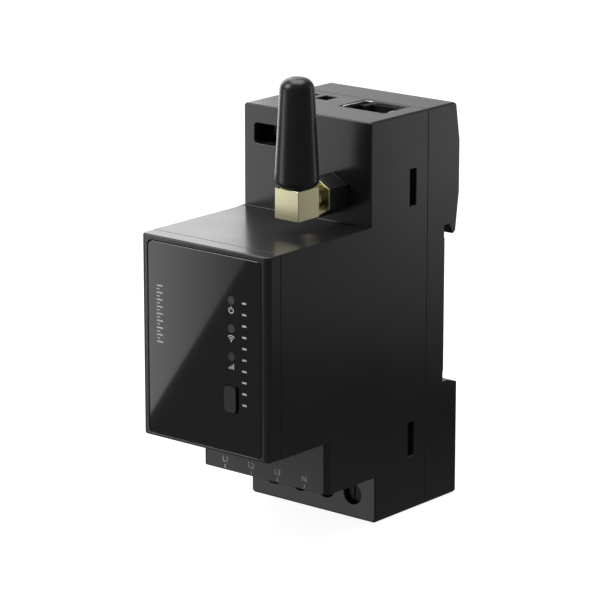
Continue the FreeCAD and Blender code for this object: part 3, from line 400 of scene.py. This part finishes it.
def soft_edged(name, width, look, chosen=lambda place: True, segments=2):
    """A copy of a CAD node with its sharp edges rounded by width millimetres, where chosen."""
    mesh = nodes[name].data.copy()
    solid = bmesh.new()
    solid.from_mesh(mesh)
    bmesh.ops.remove_doubles(solid, verts=solid.verts, dist=0.002 * MM)
    for face in solid.faces:
        face.smooth = True
    weight = solid.edges.layers.float.new("bevel_weight_edge")
    for edge in solid.edges:
        sharp = len(edge.link_faces) == 2 and edge.calc_face_angle(0) > SHARP
        edge.smooth = not sharp
        middle = (edge.verts[0].co + edge.verts[1].co) / 2
        edge[weight] = 1.0 if sharp and chosen(middle) else 0.0
    solid.to_mesh(mesh)
    solid.free()
    holder = bpy.data.objects.new(name + "_copy", mesh)
    scene.collection.objects.link(holder)
    bevel = holder.modifiers.new("round", "BEVEL")
    bevel.width, bevel.segments, bevel.limit_method = width * MM, segments, "WEIGHT"
    bevel.use_clamp_overlap = bevel.loop_slide = False
    even = holder.modifiers.new("even", "WEIGHTED_NORMAL")
    even.mode, even.weight, even.keep_sharp = "FACE_AREA", 100, True
    made = bpy.data.meshes.new_from_object(
        holder.evaluated_get(bpy.context.evaluated_depsgraph_get()))
    bpy.data.objects.remove(holder)
    low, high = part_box(name)
    for vertex in made.vertices:
        vertex.co = [min(max(c, a), b) for c, a, b in zip(vertex.co, low, high)]
    return add_piece(name + "_soft", made, body_of[name], look, name)


# %% Round the edges that show
# width of each node's rounding, in millimetres
EDGES = {"front_housing": 0.14, "front_cover": 0.12, "rear_base": 0.14, "front_panel": 0.16,
         "rail_latch": 0.2, "coupling_nut": 0.12, "nut_boot": 0.18, "antenna_elbow": 0.14,
         "antenna_collar": 0.12, "jack_panel_nut": 0.1, "signal_terminal": 0.08,
         "socket_insert": 0.06, "terminal_insert": 0.06}
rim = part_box("front_panel")[1].x - 1.5 * MM
above_holes, below_holes = 18 * MM, -19 * MM


def on_rim(place):
    """The panel's outline, and not the small holes inside it."""
    return abs(place.x) > rim or place.z > above_holes or place.z < below_holes


for name, width in EDGES.items():
    # painted shade: the brass jack panel nut gets the blackened-steel finish, so its rim in the gap
    # behind the boot stays dark
    look = "screw_black" if name == "jack_panel_nut" else slot_of[name]
    piece = soft_edged(name, width, look, *([on_rim] if name == "front_panel" else []))
    print(piece.name, len(piece.data.polygons), "faces")

# %% [markdown]
# ## Antenna sleeve
# The sleeve is a body of revolution: a rounded foot that draws in to a neck, a long taper, and a
# dome. A profile turned about the mast's axis makes it in one go, and a lathe-like spin gives
# clean rings that shade smoothly, which the faceted CAD cone can't.

# %% Turn the sleeve
def turned_mesh(name, profile, axis_point, steps=72):
    """Spins a profile of (radius, height) pairs, in metres, about the vertical through a point."""
    mesh = bpy.data.meshes.new(name)
    solid = bmesh.new()
    ring = [[solid.verts.new((axis_point.x + r * math.cos(2 * math.pi * k / steps),
                              axis_point.y + r * math.sin(2 * math.pi * k / steps), z))
             for k in range(steps)] if r > 0 else [solid.verts.new((axis_point.x, axis_point.y, z))]
            for r, z in profile]
    for low, high in zip(ring, ring[1:]):
        for k in range(steps):
            corners = [low[k % len(low)], low[(k + 1) % len(low)], high[(k + 1) % len(high)],
                       high[k % len(high)]]
            solid.faces.new(list(dict.fromkeys(corners)))
    bmesh.ops.recalc_face_normals(solid, faces=solid.faces)
    solid.to_mesh(mesh)
    solid.free()
    shade_by_angle(mesh, 50)
    return mesh


low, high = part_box("antenna_sleeve")
mast = Vector(((low.x + high.x) / 2, (low.y + high.y) / 2, low.z))
neck, wide, tip = 3.5 * MM, (high.x - low.x) / 2, 3.75 * MM
bore = 2.3 * MM
lip, foot_rise, dome = 0.25 * MM, 1.5 * MM, 2.6 * MM
foot_steps, taper_steps, dome_steps = 8, 10, 9
bore_top = high.z - 3 * MM
outline = [(0.0, bore_top), (bore, bore_top), (bore, low.z), (neck, low.z),
           (neck, low.z + lip)]
for step in range(1, foot_steps + 1):
    turn = math.pi / 2 * step / foot_steps
    outline.append((neck + (wide - neck) * math.sin(turn),
                    low.z + lip + foot_rise * (1 - math.cos(turn))))
taper_top = high.z - dome
for step in range(1, taper_steps + 1):
    part_way = step / taper_steps
    outline.append((wide + (tip - wide) * part_way,
                    low.z + lip + foot_rise
                    + (taper_top - low.z - lip - foot_rise) * part_way))
flat = tip - dome
for step in range(1, dome_steps + 1):
    turn = math.pi / 2 * step / dome_steps
    outline.append((flat + dome * math.cos(turn), taper_top + dome * math.sin(turn)))
outline.append((0.0, high.z))
add_piece("sleeve_turned", turned_mesh("sleeve_turned", outline, mast), "antenna",
          "rubber_black", "antenna_sleeve")
print("sleeve:", len(outline), "rings of 72")

# %% [markdown]
# ## Printed marks
# The panel and the legend block carry fine grey prints: terminal names with a tick each, three
# small symbols under the lights, and two columns of plain marks. A print is a film a hundredth of a
# millimetre thick. Letters start as text and become mesh before they are placed. The symbols are
# strips drawn from short lists of points.

# %% Terminal names
FILM = 0.012 * MM
TEXT_DEPTH = 0.01        # half of a letter's thickness, before it is scaled


def as_mesh(thing):
    """The mesh of a text or curve object, which is then removed."""
    scene.collection.objects.link(thing)
    made = bpy.data.meshes.new_from_object(
        thing.evaluated_get(bpy.context.evaluated_depsgraph_get()))
    bpy.data.objects.remove(thing)
    return made


def lettering(word, height, middle):
    """A word facing -Y, with capitals of the given height, centred on a point."""
    text = bpy.data.curves.new("print_" + word, "FONT")
    text.body, text.size, text.extrude = word, 1.0, TEXT_DEPTH
    text.align_x, text.resolution_u, text.offset = "CENTER", 4, 0.012
    mesh = as_mesh(bpy.data.objects.new("print_" + word, text))
    xs, ys = [v.co.x for v in mesh.vertices], [v.co.y for v in mesh.vertices]
    scale = height / (max(ys) - min(ys))
    centre = Vector(((max(xs) + min(xs)) / 2, (max(ys) + min(ys)) / 2, 0))
    mesh.transform(Matrix.Translation(-centre))
    mesh.transform(Matrix.Diagonal((scale, scale, FILM / (2 * TEXT_DEPTH), 1)))
    mesh.transform(Matrix.Translation(middle) @ Matrix.Rotation(math.pi / 2, 4, "X"))
    return mesh


def poles():
    """Name and x of each terminal, left to right, from its screw."""
    for pole in ("l1", "l2", "l3", "n"):
        low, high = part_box("terminal_screw_" + pole)
        yield pole, (low.x + high.x) / 2


legend_face, name_height, name_z, tick_z = -40.7 * MM, 1.3 * MM, -31.9 * MM, -33.6 * MM
for pole, x in poles():
    mesh = lettering(pole.upper(), name_height, Vector((x, legend_face - FILM / 2, name_z)))
    add_piece("legend_" + pole, mesh, "case", "print_grey")
print("terminal names: L1 L2 L3 N")

# %% [markdown]
# Ticks and plain marks repeat in a row, so one small Geometry Nodes tree makes every row: a line of
# points, a block on each, made real and given its finish. The same tree draws the four ticks and
# both columns on the panel; only its inputs differ.

# %% A tree that prints a row of marks
def new_tree(name, inputs):
    """An empty geometry tree with named inputs; returns the tree and its two end nodes."""
    tree = bpy.data.node_groups.new(name, "GeometryNodeTree")
    for label, kind in inputs:
        tree.interface.new_socket(name=label, in_out="INPUT", socket_type="NodeSocket" + kind)
    tree.interface.new_socket(name="Geometry", in_out="OUTPUT", socket_type="NodeSocketGeometry")
    return tree, tree.nodes.new("NodeGroupInput"), tree.nodes.new("NodeGroupOutput")


def finish_tree(tree, given, out, geometry):
    """Ends a tree: instances are made real, then the finish is set."""
    real = tree.nodes.new("GeometryNodeRealizeInstances")
    coat = tree.nodes.new("GeometryNodeSetMaterial")
    tree.links.new(geometry, real.inputs[0])
    tree.links.new(real.outputs[0], coat.inputs["Geometry"])
    tree.links.new(given.outputs["Finish"], coat.inputs["Material"])
    tree.links.new(coat.outputs[0], out.inputs["Geometry"])


def grown(name, tree, values):
    """Runs a tree once with the given inputs and returns the plain mesh."""
    holder = bpy.data.objects.new(name, bpy.data.meshes.new(name))
    modifier = holder.modifiers.new("grow", "NODES")
    modifier.node_group = tree
    for item in tree.interface.items_tree:
        if item.item_type == "SOCKET" and item.in_out == "INPUT":
            modifier[item.identifier] = values[item.name]
    scene.collection.objects.link(holder)
    made = bpy.data.meshes.new_from_object(
        holder.evaluated_get(bpy.context.evaluated_depsgraph_get()))
    holder.modifiers.remove(modifier)
    bpy.data.objects.remove(holder)
    return made


row_tree, given, out = new_tree("row_of_marks", [
    ("Count", "Int"), ("Start", "Vector"), ("Step", "Vector"), ("Size", "Vector"),
    ("Finish", "Material")])
line = node(row_tree, "GeometryNodeMeshLine")
block = node(row_tree, "GeometryNodeMeshCube")
place_on = node(row_tree, "GeometryNodeInstanceOnPoints")
for source, target in (("Count", line.inputs["Count"]), ("Start", line.inputs["Start Location"]),
                       ("Step", line.inputs["Offset"]), ("Size", block.inputs["Size"])):
    row_tree.links.new(given.outputs[source], target)
row_tree.links.new(line.outputs[0], place_on.inputs["Points"])
row_tree.links.new(block.outputs[0], place_on.inputs["Instance"])
finish_tree(row_tree, given, out, place_on.outputs[0])
print("tree:", row_tree.name, len(row_tree.nodes), "nodes")


# %% Ticks and columns
def marks(name, count, start, step, size):
    """A printed row of equal blocks on the case."""
    mesh = grown(name, row_tree, {"Count": count, "Start": start, "Step": step, "Size": size,
                                  "Finish": looks["print_grey"]})
    return add_piece(name, mesh, "case", "print_grey")


pole_x = [x for _, x in poles()]
panel_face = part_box("front_panel")[0].y
column_top, left_step = 11.2 * MM, 1.55 * MM
marks("legend_ticks", len(pole_x), (pole_x[0], legend_face - FILM / 2, tick_z),
      (pole_x[1] - pole_x[0], 0, 0), (0.26 * MM, FILM, 0.95 * MM))
marks("column_left", 9, (-12.5 * MM, panel_face - FILM / 2, column_top), (0, 0, -left_step),
      (1.7 * MM, FILM, 0.32 * MM))
marks("column_left_short", 8, (-12.9 * MM, panel_face - FILM / 2, 10.42 * MM), (0, 0, -left_step),
      (0.9 * MM, FILM, 0.24 * MM))
marks("column_right", 10, (11.2 * MM, panel_face - FILM / 2, column_top), (0, 0, -2.46 * MM),
      (1.15 * MM, FILM, 0.42 * MM))
print("rows: ticks, left column, right column")


# %% Symbols under the lights
def strip_mesh(name, strips, middle):
    """Flat strips facing -Y; each is a width and its points (x, z) in millimetres from middle."""
    mesh = bpy.data.meshes.new(name)
    solid = bmesh.new()
    for width, points in strips:
        spots = [Vector((x, z)) for x, z in points]
        sides = []
        for index, spot in enumerate(spots):
            ahead = spots[min(index + 1, len(spots) - 1)] - spots[max(index - 1, 0)]
            across = Vector((-ahead.y, ahead.x)).normalized() * width / 2
            sides.append((spot + across, spot - across))
        rows = []
        for depth in (-FILM, 0.0):
            rows.append([[solid.verts.new((middle.x + p.x * MM, middle.y + depth,
                                           middle.z + p.y * MM)) for p in pair]
                         for pair in sides])
        front, rear = rows
        for a, b, c, d in zip(front, front[1:], rear, rear[1:]):
            solid.faces.new((a[0], a[1], b[1], b[0]))
            solid.faces.new((c[0], d[0], d[1], c[1]))
            solid.faces.new((a[0], b[0], d[0], c[0]))
            solid.faces.new((a[1], c[1], d[1], b[1]))
        for a, c in ((front[0], rear[0]), (front[-1], rear[-1])):
            solid.faces.new((a[0], c[0], c[1], a[1]))
    bmesh.ops.recalc_face_normals(solid, faces=solid.faces)
    solid.to_mesh(mesh)
    solid.free()
    return mesh


def arc(radius, start, end, middle=(0.0, 0.0), steps=20):
    """Points of an arc, angles in degrees from +x."""
    return [(middle[0] + radius * math.cos(math.radians(start + (end - start) * k / steps)),
             middle[1] + radius * math.sin(math.radians(start + (end - start) * k / steps)))
            for k in range(steps + 1)]


# strips of each symbol: a width and its points, in millimetres from the symbol's middle
SYMBOLS = {
    1: [(0.24, arc(0.62, 125, 415)), (0.24, [(0.0, 0.1), (0.0, 0.85)])],
    2: [(0.26, arc(0.28, 45, 135, (0, -0.7))), (0.24, arc(0.78, 45, 135, (0, -0.7))),
        (0.24, arc(1.28, 45, 135, (0, -0.7))), (0.24, [(-0.1, -0.72), (0.1, -0.72)])],
    3: [(0.24, [(x, -0.62), (x, -0.62 + rise)]) for x, rise in
        ((-0.62, 0.35), (-0.21, 0.65), (0.21, 0.95), (0.62, 1.25))],
}
below_light = 2.1 * MM
for number, strips in SYMBOLS.items():
    low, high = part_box("light_pipe_%d" % number)
    middle = Vector(((low.x + high.x) / 2, panel_face, (low.z + high.z) / 2 - below_light))
    add_piece("symbol_%d" % number, strip_mesh("symbol_%d" % number, strips, middle), "case",
              "print_grey")
print("symbols: power, wireless, signal bars")

# %% [markdown]
# ## Network socket
# The socket's sheet-metal shield ends in folded tabs at the mouth, which show as bright strips.
# Inside stand eight spring contacts, each bent over from the front wall towards the plug. A Geometry
# Nodes tree bends one wire, sweeps it and repeats it at the contact pitch.

# %% Folded tabs of the shield
def plates(name, blocks, rounding):
    """Thin blocks, given by two opposite corners in metres, with rounded edges."""
    mesh = bpy.data.meshes.new(name)
    solid = bmesh.new()
    for low, high in blocks:
        middle, size = (low + high) / 2, high - low
        bmesh.ops.create_cube(solid, size=1, matrix=Matrix.Translation(middle) @ Matrix.Diagonal(
            (*size, 1)))
    bmesh.ops.bevel(solid, geom=list(solid.edges), offset=rounding, segments=2, profile=0.5,
                    affect="EDGES")
    solid.to_mesh(mesh)
    solid.free()
    shade_by_angle(mesh, 50)
    return mesh


low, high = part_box("socket_shield")
rim_low, rim_high, fold = high.z - 0.25 * MM, high.z + 0.08 * MM, 0.5 * MM
key_left = (low.x + high.x) / 2 - 3.7 * MM
tabs = [(Vector((low.x, low.y + 1.2 * MM, rim_low)), Vector((low.x + fold, high.y, rim_high))),
        (Vector((low.x + fold, high.y - fold, rim_low)), Vector((key_left, high.y, rim_high))),
        (Vector((high.x - fold, low.y + 2.2 * MM, rim_low)),
         Vector((high.x, low.y + 4.2 * MM, rim_high)))]
add_piece("socket_tabs", plates("socket_tabs", tabs, 0.07 * MM), "case", "shield_metal")
print("tabs:", len(tabs))

# %% A tree that bends and repeats contacts
contact_tree, given, out = new_tree("bent_contacts", [
    ("Count", "Int"), ("Start", "Vector"), ("Step", "Vector"), ("Leg top", "Vector"),
    ("Crest", "Vector"), ("Tip", "Vector"), ("Wire radius", "Float"), ("Finish", "Material")])
links = contact_tree.links
leg = node(contact_tree, "GeometryNodeCurvePrimitiveLine")
bend = node(contact_tree, "GeometryNodeCurveQuadraticBezier", Resolution=14)
round_wire = node(contact_tree, "GeometryNodeCurvePrimitiveCircle", Resolution=10)
stations = node(contact_tree, "GeometryNodeMeshLine")
repeat = node(contact_tree, "GeometryNodeInstanceOnPoints")
links.new(given.outputs["Leg top"], leg.inputs["End"])
for source, target in (("Leg top", "Start"), ("Crest", "Middle"), ("Tip", "End")):
    links.new(given.outputs[source], bend.inputs[target])
links.new(given.outputs["Wire radius"], round_wire.inputs["Radius"])
both = node(contact_tree, "GeometryNodeJoinGeometry")
for path in (leg, bend):
    swept = node(contact_tree, "GeometryNodeCurveToMesh")
    swept.inputs["Fill Caps"].default_value = True
    links.new(path.outputs[0], swept.inputs["Curve"])
    links.new(round_wire.outputs[0], swept.inputs["Profile Curve"])
    links.new(swept.outputs[0], both.inputs[0])
for source, target in (("Count", "Count"), ("Start", "Start Location"), ("Step", "Offset")):
    links.new(given.outputs[source], stations.inputs[target])
links.new(stations.outputs[0], repeat.inputs["Points"])
links.new(both.outputs[0], repeat.inputs["Instance"])
finish_tree(contact_tree, given, out, repeat.outputs[0])

low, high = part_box("socket_contacts")
contact_count, thin, rise = 8, 0.2 * MM, high.z - low.z
pitch = (high.x - low.x - 2 * thin) / (contact_count - 1)
mesh = grown("contacts", contact_tree, {
    "Count": contact_count, "Start": (low.x + thin, low.y + thin, low.z), "Step": (pitch, 0, 0),
    "Leg top": (0, 0, rise - thin), "Crest": (0, 0.9 * MM, rise + 0.6 * MM),
    "Tip": (0, 2.3 * MM, rise - 3.6 * MM), "Wire radius": thin,
    "Finish": looks[slot_of["socket_contacts"]]})
shade_by_angle(mesh, 40)
add_piece("contacts_bent", mesh, body_of["socket_contacts"], slot_of["socket_contacts"],
          "socket_contacts")
print("contacts:", contact_count, "at", round(pitch / MM, 2), "mm")

# %% [markdown]
# ## Latch ribs
# The latch is pushed down with a thumb or pulled with a screwdriver, so its free end has small ribs
# across. The tree for rows of marks makes them too.

# %% Ribs on the latch
low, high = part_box("rail_latch")
mesh = grown("latch_ribs", row_tree, {
    "Count": 3, "Start": (0, high.y + 0.1 * MM, low.z + 3.9 * MM), "Step": (0, 0, 0.45 * MM),
    "Size": (5.4 * MM, 0.4 * MM, 0.2 * MM), "Finish": looks["latch_plastic"]})
add_piece("latch_ribs", mesh, "latch", "latch_plastic")
print("ribs:", len(mesh.polygons) // 6)

# %% [markdown]
# ## Screws
# Each terminal screw has a chamfered head with a slot and a threaded shank. A Geometry Nodes tree
# builds one along +Y from named sizes: a cylinder and a cone for the head, a spiral swept with a
# small round section for the thread, and a block subtracted for the slot. It is run once for each
# screw, because every screw turns on its own.

# %% A tree for a slotted screw
screw_tree, given, out = new_tree("slotted_screw", [
    ("Place", "Vector"), ("Head radius", "Float"), ("Head height", "Float"),
    ("Chamfer", "Float"), ("Shank radius", "Float"), ("Shank length", "Float"),
    ("Thread turns", "Float"), ("Thread size", "Float"), ("Slot", "Vector"),
    ("Finish", "Material")])
links = screw_tree.links
THREADED = 0.9           # share of the shank that carries thread
THREAD_PITCH, THREAD_SIZE = 0.6 * MM, 0.12 * MM


def math_node(tree, operation, first, second):
    """The result socket of a sum on two sockets or numbers."""
    made = node(tree, "ShaderNodeMath", operation=operation)
    for number, value in enumerate((first, second)):
        if isinstance(value, (int, float)):
            made.inputs[number].default_value = value
        else:
            tree.links.new(value, made.inputs[number])
    return made.outputs[0]


def lifted(tree, geometry, height):
    """Moves geometry up its own z by a height socket."""
    spot = node(tree, "ShaderNodeCombineXYZ")
    tree.links.new(height, spot.inputs["Z"])
    move = node(tree, "GeometryNodeTransform")
    tree.links.new(geometry, move.inputs["Geometry"])
    tree.links.new(spot.outputs[0], move.inputs["Translation"])
    return move.outputs[0]


head = node(screw_tree, "GeometryNodeMeshCylinder", Vertices=40)
links.new(given.outputs["Head radius"], head.inputs["Radius"])
straight = math_node(screw_tree, "SUBTRACT", given.outputs["Head height"], given.outputs["Chamfer"])
links.new(straight, head.inputs["Depth"])
head_up = lifted(screw_tree, head.outputs["Mesh"],
                 math_node(screw_tree, "ADD", given.outputs["Chamfer"],
                           math_node(screw_tree, "DIVIDE", straight, 2.0)))
cone = node(screw_tree, "GeometryNodeMeshCone", Vertices=40)
links.new(math_node(screw_tree, "SUBTRACT", given.outputs["Head radius"], given.outputs["Chamfer"]),
          cone.inputs["Radius Bottom"])
links.new(given.outputs["Head radius"], cone.inputs["Radius Top"])
links.new(given.outputs["Chamfer"], cone.inputs["Depth"])
shank = node(screw_tree, "GeometryNodeMeshCylinder", Vertices=32)
links.new(given.outputs["Shank radius"], shank.inputs["Radius"])
links.new(given.outputs["Shank length"], shank.inputs["Depth"])
shank_up = lifted(screw_tree, shank.outputs["Mesh"],
                  math_node(screw_tree, "ADD", given.outputs["Head height"],
                            math_node(screw_tree, "DIVIDE", given.outputs["Shank length"], 2.0)))
slot_block = node(screw_tree, "GeometryNodeMeshCube")
links.new(given.outputs["Slot"], slot_block.inputs["Size"])
cut_slot = node(screw_tree, "GeometryNodeMeshBoolean", operation="DIFFERENCE")
whole_head = node(screw_tree, "GeometryNodeMeshBoolean", operation="UNION")
for geometry in (head_up, cone.outputs["Mesh"], shank_up):
    links.new(geometry, whole_head.inputs["Mesh 2"])
links.new(whole_head.outputs["Mesh"], cut_slot.inputs["Mesh 1"])
links.new(slot_block.outputs["Mesh"], cut_slot.inputs["Mesh 2"])

thread = node(screw_tree, "GeometryNodeCurveSpiral", Resolution=20)
links.new(given.outputs["Thread turns"], thread.inputs["Rotations"])
links.new(given.outputs["Shank radius"], thread.inputs["Start Radius"])
links.new(given.outputs["Shank radius"], thread.inputs["End Radius"])
links.new(math_node(screw_tree, "MULTIPLY", given.outputs["Shank length"], THREADED),
          thread.inputs["Height"])
ridge = node(screw_tree, "GeometryNodeCurvePrimitiveCircle", Resolution=6)
links.new(given.outputs["Thread size"], ridge.inputs["Radius"])
sweep = node(screw_tree, "GeometryNodeCurveToMesh")
sweep.inputs["Fill Caps"].default_value = True
links.new(thread.outputs[0], sweep.inputs["Curve"])
links.new(ridge.outputs[0], sweep.inputs["Profile Curve"])
thread_up = lifted(screw_tree, sweep.outputs[0], given.outputs["Head height"])
together = node(screw_tree, "GeometryNodeJoinGeometry")
links.new(cut_slot.outputs["Mesh"], together.inputs[0])
links.new(thread_up, together.inputs[0])
stand = node(screw_tree, "GeometryNodeTransform")
stand.inputs["Rotation"].default_value = (-math.pi / 2, 0, 0)
links.new(together.outputs[0], stand.inputs["Geometry"])
links.new(given.outputs["Place"], stand.inputs["Translation"])
finish_tree(screw_tree, given, out, stand.outputs[0])
print("tree:", screw_tree.name, len(screw_tree.nodes), "nodes")


# %% Run it for every screw
def screw(name, node_name, body, look, head_radius, head_height, shank_radius):
    """A slotted screw in the place of a CAD screw; the thread reaches the shank radius."""
    low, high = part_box(node_name)
    size = high - low
    mesh = grown(name, screw_tree, {
        "Place": ((low.x + high.x) / 2, low.y, (low.z + high.z) / 2),
        "Head radius": head_radius, "Head height": head_height, "Chamfer": 0.25 * MM,
        "Shank radius": shank_radius - THREAD_SIZE, "Shank length": size.y - head_height,
        "Thread turns": (size.y - head_height) * THREADED / THREAD_PITCH,
        "Thread size": THREAD_SIZE, "Slot": (0.7 * MM, 6 * MM, 1.8 * MM),
        "Finish": looks[look]})
    shade_by_angle(mesh, 35)
    return add_piece(name, mesh, body, look, node_name)


for pole, _ in poles():
    screw("screw_%s_detailed" % pole, "terminal_screw_" + pole, "screw_" + pole,
          "screw_black", 2.15 * MM, 2.2 * MM, 1.5 * MM)
for number in (1, 2):
    made = screw("signal_screw_%d_detailed" % number, "signal_screw_%d" % number,
                 "signal_screw_%d" % number, "nickel_steel", 1.7 * MM, 1.3 * MM, 1.1 * MM)
print("screws: 6,", len(made.data.polygons), "faces in the last")

# %% [markdown]
# ## Latch spring
# The spring between the base and the latch gets shorter when the latch is pulled down. One more
# Geometry Nodes tree winds it with a level ring at each end.

# %% A tree that winds a spring
spring_tree, given, out = new_tree("wound_spring", [
    ("Place", "Vector"), ("Radius", "Float"), ("Height", "Float"), ("Turns", "Float"),
    ("Wire radius", "Float"), ("Finish", "Material")])
links = spring_tree.links
winding = node(spring_tree, "GeometryNodeCurveSpiral", Resolution=28)
round_wire = node(spring_tree, "GeometryNodeCurvePrimitiveCircle", Resolution=10)
for source, target in (("Radius", "Start Radius"), ("Radius", "End Radius"), ("Height", "Height"),
                       ("Turns", "Rotations")):
    links.new(given.outputs[source], winding.inputs[target])
links.new(given.outputs["Wire radius"], round_wire.inputs["Radius"])
swept = node(spring_tree, "GeometryNodeCurveToMesh")
swept.inputs["Fill Caps"].default_value = True
links.new(winding.outputs[0], swept.inputs["Curve"])
links.new(round_wire.outputs[0], swept.inputs["Profile Curve"])
rings = node(spring_tree, "GeometryNodeJoinGeometry")
links.new(swept.outputs[0], rings.inputs[0])
for end in (None, "Height"):
    ring = node(spring_tree, "GeometryNodeCurvePrimitiveCircle", Resolution=28)
    links.new(given.outputs["Radius"], ring.inputs["Radius"])
    closed = node(spring_tree, "GeometryNodeCurveToMesh")
    links.new(ring.outputs[0], closed.inputs["Curve"])
    links.new(round_wire.outputs[0], closed.inputs["Profile Curve"])
    level = lifted(spring_tree, closed.outputs[0], given.outputs[end]) if end else closed.outputs[0]
    links.new(level, rings.inputs[0])
stand = node(spring_tree, "GeometryNodeTransform")
links.new(rings.outputs[0], stand.inputs["Geometry"])
links.new(given.outputs["Place"], stand.inputs["Translation"])
finish_tree(spring_tree, given, out, stand.outputs[0])

low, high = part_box("latch_spring")
thin = 0.17 * MM
mesh = grown("spring_wound", spring_tree, {
    "Place": ((low.x + high.x) / 2, (low.y + high.y) / 2, low.z + thin),
    "Radius": (high.x - low.x) / 2 - thin, "Height": high.z - low.z - 2 * thin, "Turns": 7.0,
    "Wire radius": thin, "Finish": looks[slot_of["latch_spring"]]})
shade_by_angle(mesh, 50)
spring = add_piece("spring_wound", mesh, body_of["latch_spring"], slot_of["latch_spring"],
                   "latch_spring")
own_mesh(spring)
